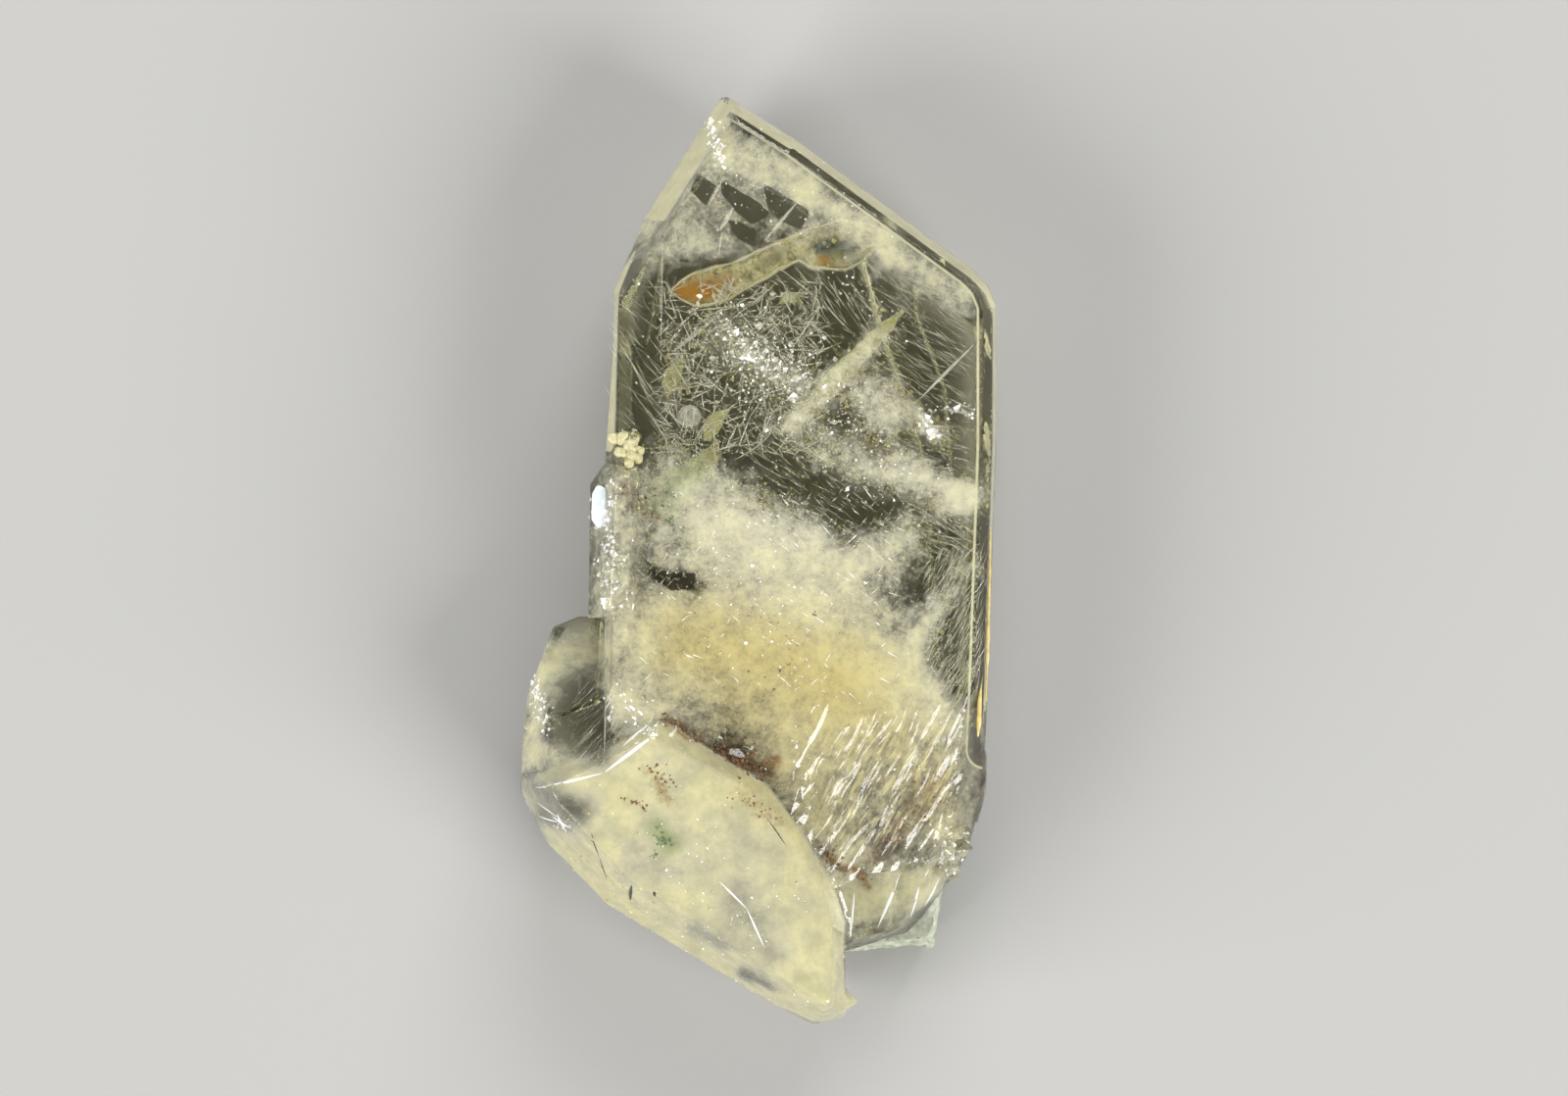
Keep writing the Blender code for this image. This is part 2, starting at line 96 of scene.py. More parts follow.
# Smooth straw haze: each stroke's start and end in plan, radius and strength
HAZE = [
    (-2.3, 25.3, -6.9, 18.4, 0.95, 0.62), (-4.4, 18.6, -1, 17.2, 0.8, 0.35),
    (-4, 21, 2.6, 18.6, 1.7, 0.34), (-2.4, 22.6, 2.6, 20.6, 0.8, 0.4),
    (-2, 24.8, -1.7, 22.6, 0.4, 0.7), (-1, 23.3, 3, 21, 0.7, 0.5),
    (3, 20.5, 7, 18, 0.9, 0.6), (7.4, 17.2, 11.4, 14.8, 1.2, 0.6),
    (-5.6, 16.9, -3.2, 18, 0.8, 0.4), (8, 13.9, 1.6, 7.4, 0.62, 0.5),
    (6.6, 9.2, 9.4, 5.6, 1.2, 0.42), (3, 5.4, 11.8, 4, 0.8, 0.4), (11.8, 3.6, 5, -0.6, 1, 0.5),
    (12, -0.2, 8.2, -5.4, 0.5, 0.5), (-4.2, 3.4, 2.4, -0.6, 2.3, 0.55),
    (-4.6, -4.6, 4.6, -6, 4.2, 0.78), (2, -9.5, 4.6, -16.5, 1.7, 0.6),
    (5, -8, 9.8, -13.2, 3.2, 0.5), (7, -6, 11, -9, 1.6, 0.5),
    (2.3, -24.8, 3.5, -23.4, 1.7, 0.5), (4.7, -25, 5.6, -24.5, 0.9, 0.95),
    (-11.9, -6.2, -11, -4.6, 1.1, 0.6), (-10, -5.2, -8.8, -5, 0.9, 0.5),
    (-12.3, -10.8, -9.4, -11.7, 0.7, 0.6), (-12.9, -14, -8.6, -19, 0.9, 0.8),
    (-8.6, -19, 0.4, -24.6, 0.9, 0.8), (-8.4, 3.8, -8.3, -2.4, 0.8, 0.35),
    (-8, -7.4, -5.8, -9.6, 0.9, 0.5), (-12, -4.6, -12.9, -11.2, 0.7, 0.75),
    (-11.4, -4.2, -9.4, -3.8, 0.6, 0.5), (5.6, -19, 9.4, -18.6, 1.6, 0.85),
    (10.6, -14.8, 11.6, -17.4, 0.9, 0.5), (-7.6, 6.8, -7, 1, 0.8, 0.35),
]

# Outline of the milky crystal's lower lobe, how milky it is, and how wide its edge fades
MILKY_OUTLINE = [
    (4.6, -25.75), (3.05, -26.15), (0.7, -24.95), (-8.55, -19.35), (-11.8, -16), (-13.4, -13),
    (-13.4, -12.2), (-5, -8.9), (0.6, -12.4), (2.6, -15.1), (4.2, -18), (4.9, -20.2), (4.9, -25.3),
]
MILKY_HAZE = 0.86
MILKY_FADE = 0.2

# Sugary cloud made of flakes and veils, in the same way
CLOUD = [
    (-4.6, 21.6, 3.6, 17.9, 1.3, 0.22), (-4.9, 11.9, -4.3, 9.9, 0.6, 0.3),
    (-1.8, 12.4, 2, 9.8, 1.2, 0.5), (8.2, 13.8, 2, 7.8, 0.8, 0.4), (6.4, 9.2, 9.4, 6.6, 1.3, 0.8),
    (9.2, 8, 9.5, 7.2, 0.5, 1), (3, 6.6, 11, 4.2, 1, 0.6), (11.4, 3.6, 5.2, -0.4, 1.1, 0.6),
    (11.9, -0.4, 8, -5.4, 0.6, 0.6), (-4.4, 3.8, 1.6, 0.6, 2, 0.75),
    (-0.7, -1.5, 2, -3, 3.2, 0.6), (-5.2, -4, 4.2, -6, 3.6, 0.5),
    (5.9, -7, 9.4, -7.6, 2, 0.5), (-6, -12.5, 1.6, -21.3, 3.9, 0.4),
    (-9.5, -15, -5, -19, 2, 0.3), (-7.6, -8.2, -5.6, -11, 1.1, 0.6),
    (-12.4, -8, -12.9, -11, 0.6, 0.5), (-10, -17.2, -6.4, -19.4, 1.2, 0.35),
]

# Clear windows in the cloud, in the same way
WINDOWS = [
    (-6.8, 15, -6.7, 7.8, 1.15, 0.98), (7.8, 14, 11.3, 10.2, 1.5, 0.7),
    (8.6, 6.9, 11.2, 5.4, 0.7, 0.9), (9.2, 2.6, 11.2, 1.2, 0.75, 0.85),
    (-5.6, -0.7, -3.6, -1.5, 0.45, 0.95), (11.7, -1.4, 11.3, -6.8, 0.75, 0.98),
    (10.2, -5.2, 11.6, -7.2, 0.7, 0.9), (2.6, 5.2, 5.4, 3, 0.7, 0.75),
    (-1.9, 6.8, 2, 4.6, 0.9, 0.6), (-10.3, -7.4, -8.9, -10.6, 0.8, 0.95),
    (-12, -12.6, -9.4, -13.8, 0.8, 0.7), (-12.4, -14.2, -10.6, -14.6, 0.7, 0.7),
    (-0.8, -23, 0.6, -23.7, 0.45, 0.75), (-3.6, -20.2, -2, -21.4, 0.4, 0.45),
    (-1.4, -18.6, 0.6, -21.2, 1.1, 0.5), (-6.6, -16.4, -4.6, -17.4, 0.8, 0.3),
]

# Straight-edged clear panes in the haze
PANES = [
    [(-3.45, 21.7), (-2.3, 20.9), (-2.9, 19.75), (-3.75, 20.6)],
    [(-1.98, 21.15), (0.03, 20), (0.72, 19.3), (-0.28, 18.7), (-1.1, 19.35), (-2.05, 20.45)],
    [(-1.75, 19.05), (-0.9, 18.85), (-0.05, 18.35), (-0.2, 17.45), (-1.2, 18)],
    [(0.33, 21.05), (2.95, 19.45), (2.4, 18.45), (1.25, 18.9), (0.5, 19.85)],
    [(4.4, 16.15), (5.65, 16.4), (7.2, 14.4), (5.9, 14.9), (4.8, 15.2)],
    [(8.9, 13.4), (11.95, 13.6), (12, 11.9), (9.5, 9.4), (8, 10.5)],
    [(-5.64, -0.5), (-3.4, -0.65), (-3.55, -1.5), (-4.8, -1.65), (-5.5, -1.1)],
    [(-10.3, -7.3), (-8.6, -7.1), (-8.6, -10.9), (-10.2, -9.9)],
    [(11.9, -0.4), (12.2, -1), (12.1, -7.7), (11.1, -7.2), (10.6, -5.6)],
]

# Painted light along the edges: the pale rim is a painted highlight and the dark band beside it is painted
# shade
# Free edges of the tall crystal: start, end, the painted pale rim's width, the painted dark band's strength,
# and their foot
PAINTED_RIMS = [
    (-8.32, 6.4, -8.05, 15.2, 0.3, 0, 8.7), (-8.05, 15.2, -6.45, 19.3, 0.32, 0, 8.7),
    (-6.45, 19.3, -2.15, 26.15, 1.2, 0, 7.2), (-2.15, 26.15, -1.8, 26.15, 0.6, 0, 8.7),
    (-1.8, 26.15, 2.2, 23.6, 0.75, 0.7, 8.7), (2.2, 23.6, 12.1, 16.35, 0.6, 1, 8.7),
    (12.1, 16.35, 12.9, 15.5, 0.55, 1, 8.7), (12.9, 15.5, 13.4, 14.3, 0.4, 1, 8.7),
    (13.4, 14.3, 13.4, 6.5, 0.26, 1, 8.7), (13.4, 6.5, 12.8, -10.5, 0.24, 1, 8.7),
]
# The pale line inside the edge is a painted highlight too
RIM_HIGHLIGHT_LINE = 1.14  # how far in from the edge the pale line runs
RIM_FALL = 1.5  # how fast the rim fades at its foot
RIM_STEEP = 4.0  # and across its inner edge
RIM_REACH = 4.0  # how far from an edge these distances matter

# Where the cloud is tan, where rust has soaked in, and where it is green
TAN = [
    (-3.5, -4.6, 3.8, -6.4, 2.8, 0.8), (-1, -9, 4, -14, 2, 0.5),
    (6, -9, 9.5, -13, 2.6, 0.5),
]
RUST = [
    (-5, -8.8, 0.2, -11.9, 0.22, 0.85), (-1.6, -10.7, 0.6, -11.6, 0.6, 0.85),
    (-1.2, -12.8, 1.2, -14.6, 0.8, 0.55), (6.4, -16.6, 10, -12.4, 1.3, 0.6),
    (3.6, -16.2, 6.2, -18.2, 0.3, 0.85), (-7.4, 3.9, -5.8, 2.4, 0.8, 0.6),
    (-6.4, -11.4, -5, -13.2, 0.5, 0.65),
]
GREEN = [
    (-5.6, -14.9, -4.9, -15.8, 0.5, 0.7), (-5.4, 3.4, -3.6, 5.4, 0.7, 0.5),
]

# The etch tube across the top: plan points and half widths, and how deep its middle lies
TUBE = [
    (-4.85, 15.05, 0.03), (-4.27, 15.1, 0.55), (-3.63, 15.14, 0.82), (-2.77, 15.27, 0.95),
    (-1.9, 15.56, 0.95), (-0.8, 16.05, 0.8), (-0.07, 16.42, 0.76), (0.93, 16.96, 0.68),
    (2.11, 17.45, 0.62), (2.66, 17.51, 0.9), (3.3, 17.51, 1.22), (4.3, 17.58, 1.42),
    (5.4, 17.82, 1.14), (6.22, 18.06, 0.74), (6.95, 18.11, 0.32), (7.59, 18.15, 0.03),
]
TUBE_DEPTH = 1.1
TUBE_ORANGE = [
    (-4.2, 15, -3, 15.1, 0.62, 1), (-2.6, 15.3, -1.6, 15.7, 0.4, 0.55),
    (3.6, 16.85, 3.8, 16.75, 0.25, 1),
]
TUBE_GREEN = [
    (3.4, 17.45, 3.6, 17.4, 0.34, 1), (4.2, 17.6, 5.2, 17.4, 0.6, 0.8),
    (0.4, 16.6, 1.4, 17.1, 0.3, 0.45),
]

# Straight glints: start, end, half width, and how deep they lie under the front
GLINT_LINES = [
    (-1.83, 21.5, -2.75, 19.8, 0.05, 0.3), (-1.98, 18.4, -2.2, 17, 0.05, 0.3),
    (2.19, 20, 0.33, 17.8, 0.1, 0.4), (-1.36, 19.7, -2.14, 18.4, 0.12, 0.4),
    (-5.3, 18.8, -5.4, 11.7, 0.03, 0.3), (-7.85, 12.4, -6, 9.35, 0.035, 0.5),
    (-7.7, 14.4, -6.6, 13.5, 0.03, 0.4), (-4.76, 11.65, -2.1, 13.8, 0.12, 0.9),
    (12.06, 12.1, 8.98, 9, 0.08, 0.3), (2.3, 13.5, 4, 12.6, 0.04, 0.4),
    (-3.4, 10.7, -1.5, 9, 0.04, 0.5), (8.9, 8.3, 9.8, 7.1, 0.14, 0.12),
    (8.8, 7.5, 10.4, 7.5, 0.1, 0.12), (9, 7.2, 9.7, 8.2, 0.12, 0.12),
    (10.3, 8.5, 12.3, 8.1, 0.05, 0.2), (10.6, 9.1, 12, 8.4, 0.04, 0.2),
    (7.95, -17.6, 6.75, -20.6, 0.1, 0), (9.05, -18.3, 8.6, -20.2, 0.08, 0),
    (10.2, -17.9, 9.4, -19.6, 0.1, 0), (5.4, -18.6, 5.2, -21.2, 0.06, 0),
    (-8.5, -7, -8.5, -11, 0.05, 0.2), (-5.6, -9.5, -8.4, -11.6, 0.09, 0),
    (-8.6, -11.7, -12.4, -12.6, 0.07, 0), (-7.5, -10.3, -5.9, -9, 0.14, 0.05),
    (-2.1, -17.7, -0.6, -19.2, 0.05, 0), (-0.6, -19.2, 0.35, -21.3, 0.05, 0),
    (-11.5, -14.1, -10.3, -14.8, 0.08, 0), (-11.1, -14, -10.7, -14.9, 0.08, 0),
    (-12.3, -13.5, -11, -14.2, 0.05, 0), (-12.3, -14.3, -11, -14.5, 0.05, 0),
]

# Open cracks, which look dark, in the same way
CRACK_LINES = [
    (-6.95, -17.9, -7.1, -19, 0.15, 0), (-5.75, -18.2, -5.6, -18.5, 0.1, 0),
    (-9.16, -14.95, -8.75, -16.4, 0.05, 0), (-8.75, -16.4, -8.4, -17.7, 0.045, 0),
    (-4.45, 17.7, -3.4, 17.35, 0.07, 0.4), (-3.4, 17.35, -2.5, 16.75, 0.08, 0.4),
    (-5.15, 18.2, -5.25, 13, 0.03, 0.4), (0.5, -14.2, 1.6, -15.8, 0.04, 0),
]

# Cloud flakes: how many are tried, drawn and kept at most, their depths, size and thickness
CLOUD_TRIES = 150000
CLOUD_DRAWN = 26000
CLOUD_KEPT = 24000
CLOUD_DEPTHS = (0.08, 5.0)
CLOUD_FLAKE = 0.075
CLOUD_THICK = 0.025

# Inclusions: how far they keep from the back, and how strongly they crowd towards the front
BACK_MARGIN = 0.25
TOWARDS_FRONT = 1.7

# Depths of needles in the clear parts and in the cloud
INSIDE = (0.2, 2.4)
SHALLOW = (0.0, 0.25)

# Needles: how many, from corner to corner, least and greatest half length, direction, half width, and depths
NEEDLES = [
    (1100, (-5.5, 6), (3.6, 15.6), (0.2, 1.4), None, 0.034, INSIDE),
    (420, (-6.4, -7.5), (8, 4), (0.15, 0.7), -0.6, 0.022, SHALLOW),
    (260, (-6.4, -7.5), (8, 4), (0.15, 0.6), 0.9, 0.02, SHALLOW),
    (130, (2.2, 12), (6.8, 16.6), (0.2, 1.2), -0.9, 0.022, INSIDE),
    (60, (-8, 7), (-5, 15), (0.3, 1.8), -0.9, 0.018, INSIDE),
    (260, (6.5, 9), (11.6, 15.5), (0.3, 1.6), -0.55, 0.018, INSIDE),
    (160, (7.5, 4), (12, 8), (0.2, 1), -0.45, 0.02, INSIDE),
    (160, (8.4, 0.4), (11.8, 3.4), (0.2, 1.1), -0.5, 0.026, INSIDE),
    (420, (9.4, -8), (12.2, 0.6), (0.3, 1.3), 1.05, 0.028, INSIDE),
    (160, (-0.5, 2), (6, 8), (0.2, 1), -0.6, 0.02, INSIDE),
    (260, (-8.3, -10.6), (-5.6, -6.8), (0.2, 0.9), 1.1, 0.04, INSIDE),
    (100, (-10.6, -11.4), (-8.6, -6.6), (0.2, 1.2), 0.9, 0.02, INSIDE),
]
NEEDLE_STRAY = 0.15  # how far in radians a needle turns out of its direction

# Veils: how deep each blade lies, then its plan points with half widths
VEILS = [
    (1, [(8.1, 14, 0.1), (6.6, 12.5, 0.5), (4.6, 10.4, 0.66), (2.8, 8.6, 0.55), (1.7, 7.4, 0.1)]),
    (0.9, [
        (-2.85, 6.7, 0.1), (-2.63, 7.3, 0.44), (-2.41, 7.75, 0.52), (-2.08, 8.15, 0.34), (-1.5, 8.5, 0.02),
    ]),
    (1, [
        (-2.2, 6.8, 0.05), (-2.5, 6.1, 0.45), (-3, 5.4, 0.66), (-3.7, 4.75, 0.7), (-4.5, 4.3, 0.4),
        (-5, 4.4, 0.05),
    ]),
    (1.6, [(-5.1, 9.1, 0.03), (-4.95, 9.9, 0.4), (-4.6, 10.7, 0.48), (-4.1, 11.5, 0.05)]),
    (1.2, [(1.2, 14.35, 0.03), (1.6, 14.7, 0.28), (2.1, 14.7, 0.2), (2.5, 14.4, 0.03)]),
]
VEIL_THICK = 0.05

# Cream crust: how many balls, along which path, how far they stray, and their least and greatest radius
CRUST = [
    (26, [(-7.6, 6.9, 11), (-6.9, 6.2, 11.1), (-7.3, 5.7, 11.1)], (0.3, 0.3, 0.12), (0.16, 0.36)),
    (14, [(-7.2, 5.6, 11), (-6.8, 3.4, 11), (-6.6, 1.6, 11)], (0.3, 0.4, 0.1), (0.06, 0.16)),
]
BALL_ROWS = 7
BALL_AROUND = 10
BALL_ROUGH = 0.25

# Specks and glints: how many, the line's start and end, how far they stray from it, and their size
BROWN_SPECKS = [
    (90, -5.2, -8.6, -3.2, -9.9, 0.14, 0.07), (60, -3.2, -9.9, 0.6, -12.1, 0.12, 0.07),
    (150, -2, -10.3, 0.5, -11.8, 0.4, 0.07), (60, -1.4, -12.9, 0.9, -14.2, 0.3, 0.06),
    (60, -6, -11.3, -4.8, -12.4, 0.22, 0.07), (35, -7.3, -13.2, -6.1, -13.5, 0.12, 0.07),
    (130, 6.3, -16.2, 10, -12.6, 0.6, 0.06), (70, 3.6, -16, 6.6, -18.2, 0.2, 0.06),
    (60, -7.2, 4.2, -5.6, 2.6, 0.4, 0.06), (14, 2.9, -2.9, 3.4, -3.1, 0.1, 0.06),
    (26, -2.2, -4.4, 0.6, -6.2, 0.7, 0.04), (50, -1, -2.6, 2.6, -4.4, 0.2, 0.035),
    (40, 2.6, -4.4, 0.6, -7.4, 0.2, 0.035), (30, -4.2, -2.6, -2.6, -4.6, 0.3, 0.035),
    (24, 4.4, -3.6, 6.4, -6.4, 0.4, 0.03),
]
GREEN_SPECKS = [
    (60, -5.5, -15, -4.9, -15.7, 0.2, 0.08), (16, -5.9, -16.1, -5.6, -16.2, 0.12, 0.07),
    (50, -5.2, 3.6, -4.7, 1.6, 0.2, 0.06),
]
GLINTS = [
    (300, -1.6, 12.8, 2, 9.8, 0.6, 0.09), (40, 9.1, 8.3, 9.6, 7.1, 0.25, 0.12),
    (60, 10.2, 8.6, 12.2, 8.2, 0.2, 0.06), (220, -8, -7.4, -5.8, -9.6, 0.5, 0.1),
    (150, -12.6, -6.8, -12, -9.4, 0.35, 0.1), (30, -11.2, -14.3, -10.4, -14.9, 0.2, 0.09),
    (300, -8.6, 4.2, -7.9, -2.4, 0.5, 0.1), (150, -2.6, 24.8, -1.8, 22, 0.25, 0.1),
    (50, 2, -9.6, 2.6, -11.6, 0.2, 0.06), (90, 4, 16, 8, 13, 1, 0.05),
    (300, -4, 14, 4, 8, 1.8, 0.07), (60, 10.4, -15, 11.2, -17.2, 0.4, 0.09),
    (1500, -4, 3.6, 4, -7, 2.6, 0.04), (700, 0, 12, 10, 3, 1.6, 0.045),
    (900, -7, -12, 2, -21, 2.6, 0.04), (300, -3, 22, 6, 19, 1.2, 0.04),
]
SPECK_DEPTHS = (-0.02, 0.15)
SPECK_THICK = 0.03
GLINT_DEPTHS = (0.0, 0.5)
GLINT_THICK = 0.015

# Iron-stained seams along the right edge: plan points with half widths
SEAMS = [
    [(-0.3, 24.5, 0.02), (1.9, 23.12, 0.05), (7, 19.4, 0.05), (11.7, 15.9, 0.05), (12.4, 15.1, 0.02)],
    [(13, 1.9, 0.03), (12.95, -1, 0.08), (12.85, -4.6, 0.09), (12.75, -7.9, 0.04)],
    [(12.5, -6.4, 0.05), (12.4, -7.6, 0.14), (12.35, -9, 0.16), (12.3, -9.8, 0.05)],
]
SEAM_HEIGHT = 9.9

# Film on the side crystal, whose blue-white is a painted glint: plan points with half widths
FILM = [(-8.9, 4.2, 0.1), (-8.8, 3.9, 0.42), (-8.75, 3.0, 0.5), (-8.8, 2.2, 0.46), (-8.9, 1.9, 0.1)]
FILM_HEIGHT = 11.0
FILM_THICK = 0.04

# Bubble: its middle, and the radius and height of each ring of its profile
BUBBLE_MIDDLE = (-3.82, 8.06, FRONT - 0.8)
BUBBLE_RINGS = [
    (0.02, 0.12), (0.3, 0.14), (0.5, 0.08), (0.57, 0.15), (0.65, 0.1), (0.67, -0.02), (0.55, -0.1),
    (0.3, -0.13), (0.02, -0.12),
]
BUBBLE_AROUND = 28

# Matrix remnant: its longest edge, and the height, size and seed of its coarse and fine grains
MATRIX_FACET = 0.16
MATRIX_HALVINGS = 4
COARSE_GRAINS = (0.07, 0.55, 81)
FINE_GRAINS = (0.035, 0.22, 82)

# Colours of the crystal: where it is clear, in the straw haze, in the milky crystal, and stained
CLEAR = "#F6F3DE"
STRAW = ("#B0AA6B", "#D0C98E")
MILKY = ("#A39E61", "#CCC386")
TAN_STAIN = "#BFAE6E"
RUST_STAIN = "#8F6A3A"
GREEN_STAIN = "#8C9E62"

# Colours of the etch tube's filling: dark and pale in its middle, then its ends
FILLING = ("#8A8453", "#F2ECC0")
FILLING_ENDS = {"orange": "#CF9426", "green": "#2F4A3A"}

# How light bends in the crystal, and the colour it takes on with each metre, times the density
CRYSTAL_IOR = 1.6
ABSORPTION = "#BAB99C"
ABSORPTION_DENSITY = 82.0

# Opaque minerals: name, pale and dark shade, size of the mottling, roughness
MINERALS = {
    # Montebrasite full of fluid specks scatters light: satin flakes from cream to straw
    "milk": ("milky montebrasite flakes", "#D8D29E", "#B8B070", 0.4, 0.4),
    # Fine hollow growth tubes look like bright white threads
    "needle": ("white needles", "#FFFFFF", "#ECEAD6", 0.5, 0.3),
    # Etched glassy wall of the tube: a pale, slightly glossy strand, its paleness a painted highlight along
    # the wall
    "etch rim": ("pale etch rim, painted highlight", "#FFFCE8", "#EFE6BC", 0.3, 0.25),
    # Healed cracks: thin straw and pale green blades with a satin gloss
    "veil": ("straw veil", "#E9E6B4", "#C4C68A", 0.5, 0.35),
    # Wall of a fluid bubble: grey to white, smooth and shiny
    "bubble": ("bubble wall", "#FFFFFF", "#B9B4B4", 0.25, 0.2),
    # Knobbly phosphate crust: cream, with a dull gloss
    "crust": ("cream botryoidal crust", "#D2CBA2", "#AAA070", 0.3, 0.45),
    # Iron oxide: dark rusty brown and dull
    "iron": ("iron stain", "#8A5A2A", "#3F2711", 0.2, 0.6),
    # Chlorite: dull dark green
    "chlorite": ("chlorite specks", "#6F8A55", "#3C5634", 0.2, 0.6),
    # Cleavage cracks that throw light back: small white mirrors
    "glint": ("cleavage glints", "#FFFFFF", "#F4F4F0", 0.3, 0.1),
    # Open cracks, which light doesn't leave: dark olive grey
    "crack": ("open cracks", "#4A4A3E", "#2E2E28", 0.3, 0.3),
    # Thin air film in a cleavage: glossy, its blue-white colour a painted glint
    "film": ("cleavage film, painted blue-white glint", "#F6FAFF", "#D6E6F0", 0.5, 0.15),
    # Seams stained by iron: amber and half glossy
    "seam": ("iron-stained seams", "#E9D694", "#CDB062", 0.4, 0.3),
    # Granular feldspar: grey-white with a tinge of green, rough and matt
    "matrix": ("granular feldspar matrix", "#D0D4C0", "#A2A890", 0.5, 0.8),
}
MINERAL_IOR = 1.55
SMOOTH_BUMP = 0.02  # height of the fine roughness that is drawn on a mineral
GRAINY_BUMP = 0.05

# Camera: its frame's width at the height of the crystal's outline, and the point that it looks at
VIEW_WIDTH = 88.0
OUTLINE_HEIGHT = 9.0
PHOTO_MIDDLE = (1.46, 0.74)
LENS = 100.0
SENSOR = 36.0

# Floor and sky: half the floor's side in metres, how far it lies under the part, and their greys
FLOOR_HALF = 3.0
FLOOR_DROP = 0.02
FLOOR_GREY = "#AAA9A6"
SKY_GREY = "#9A9C9E"
SKY_STRENGTH = 0.55

# Soft square lights, all at one distance: name, direction from the specimen, side in metres and watts
LIGHT_DISTANCE = 0.9
LIGHTS = [
    ("left_softbox", (-0.86, -0.42, 0.52), 0.6, 9.2),
    ("right_softbox", (0.78, -0.58, 0.66), 0.5, 8.7),
    ("top_softbox", (0.2, 0.9, 0.62), 0.56, 6.8),
]


# Colours and patterns


def linear(hex_colour):
    """An sRGB hex colour as the linear values that a shader takes."""
    parts = [int(hex_colour[i : i + 2], 16) / 255 for i in (1, 3, 5)]
    return (*[p / 12.92 if p <= 0.04045 else ((p + 0.055) / 1.055) ** 2.4 for p in parts], 1.0)


def lattice_noise(points, size, seed):
    """Smooth noise from -1 to 1: random numbers on a lattice of that size, blended in between."""
    table = np.random.default_rng(seed).uniform(-1, 1, (LATTICE, LATTICE, LATTICE))
    place = points / size
    cell = np.floor(place).astype(int)
    part = place - cell
    part = part * part * (3 - 2 * part)
    total = np.zeros(len(points))
    for corner in np.ndindex(2, 2, 2):
        share = np.prod(np.where(corner, part, 1 - part), axis=1)
        total += share * table[tuple(((cell + corner) % LATTICE).T)]
    return total


def relief(points, kind):
    """Noise times a height, where kind is that height, the noise's size and its seed."""
    height, size, seed = kind
    return height * lattice_noise(points, size, seed)


def line_distance(plan, line):
    """How far each plan point is from a line, given by the x and y of both ends."""
    start, end = np.reshape(line, (2, 2))
    run = end - start
    along = np.clip((plan - start) @ run / (run @ run), 0, 1)
    return np.linalg.norm(plan - start - along[:, None] * run, axis=1)


def strokes(plan, table):
    """Share of the strokes at each plan point: a bell about each line, together below 1."""
    clear = np.ones(len(plan))
    for *line, radius, strength in table:
        clear *= 1 - strength * np.exp(-BELL * (line_distance(plan, line) / radius) ** 2)
    return 1 - clear


def inside_by(plan, corners):
    """Distance from the outline, above 0 inside it, where an odd number of sides lies to the right."""
    nearest = np.full(len(plan), FAR)
    odd = np.zeros(len(plan), bool)
    for x0, y0, x1, y1 in np.hstack([corners, np.roll(corners, -1, axis=0)]):
        nearest = np.minimum(nearest, line_distance(plan, (x0, y0, x1, y1)))
        crosses = (y0 > plan[:, 1]) != (y1 > plan[:, 1])
        odd ^= crosses & (plan[:, 0] < x0 + (plan[:, 1] - y0) * (x1 - x0) / (y1 - y0 + 1e-12))
    return np.where(odd, nearest, -nearest)


def ragged(points, reach, size, seed):
    """Plan points shifted by noise, which makes what is drawn with them ragged."""
    shift = []
    for axis in (0, 1):
        coarse = lattice_noise(points, size, seed + axis)
        shift.append(coarse + 0.5 * lattice_noise(points, size / 3, seed + 5 + axis))
    return points[:, :2] + reach * np.stack(shift, axis=1)


def pane_depth(points):
    """How far each point is inside the nearest clear pane, and below 0 outside them."""
    plan = ragged(points, 0.03, 0.5, 18)
    return np.max([inside_by(plan, pane) for pane in PANES], axis=0)


def cloudiness(points):
    """Share of sugary cloud: the strokes less windows and panes, broken up by noise."""
    plan = ragged(points, 0.6, 1.7, 11)
    cloud = strokes(plan, CLOUD) * (1 - strokes(plan, WINDOWS)) * np.clip(-8 * pane_depth(points), 0.05, 1)
    speckle = 0.5 * lattice_noise(points, 1.1, 21) + 0.35 * lattice_noise(points, 0.45, 22)
    return np.clip(cloud + 0.35 * speckle * (0.2 + cloud), 0, 1)


def milkiness(points):
    """1 in the milky crystal's lower lobe and 0 outside it."""
    return np.clip(inside_by(points[:, :2], MILKY_OUTLINE) / MILKY_FADE, 0, 1)


def haziness(points):
    """Share of smooth haze: the strokes and the uneven milky lobe, less the windows."""
    plan = ragged(points, 0.25, 1.3, 15)
    milky = MILKY_HAZE * milkiness(points)
    milky *= 1 + 0.25 * lattice_noise(points, 2.6, 16) + 0.12 * lattice_noise(points, 0.9, 17)
    return (1 - (1 - strokes(plan, HAZE)) * (1 - milky)) * (1 - 0.9 * strokes(plan, WINDOWS))


def painted_rim_layers(points):
    """How far each point is inside the pale rim, a painted highlight, and from the tall crystal's nearest
    free edge, and the strength of the dark band of painted shade there. Inside is the lesser of two: the
    rim's width less the distance, made steeper, and the height above the rim's foot."""
    plan = points[:, :2]
    inset = np.full(len(points), FAR)
    width, foot, band = np.zeros((3, len(points)))
    for *line, rim, dark, low in PAINTED_RIMS:
        away = line_distance(plan, line)
        closer = away < inset
        inset[closer] = away[closer]
        width[closer] = rim
        foot[closer] = low
        band[closer] = dark * (points[closer, 2] >= low)
    inside = np.minimum(RIM_STEEP * (width - inset), RIM_FALL * (points[:, 2] - foot))
    return np.clip(inside, -RIM_REACH, RIM_REACH), np.minimum(inset, RIM_REACH), band


# Meshes


def new_object(name, data):
    """An object with that data in the scene."""
    obj = bpy.data.objects.new(name, data)
    bpy.context.scene.collection.objects.link(obj)
    return obj


def add_piece(name, mesh, mat):
    """The mesh as a piece that rides on the part's body."""
    mesh.materials.clear()
    mesh.materials.append(mat)
    obj = new_object(name, mesh)
    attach(obj, BODY)
    return obj


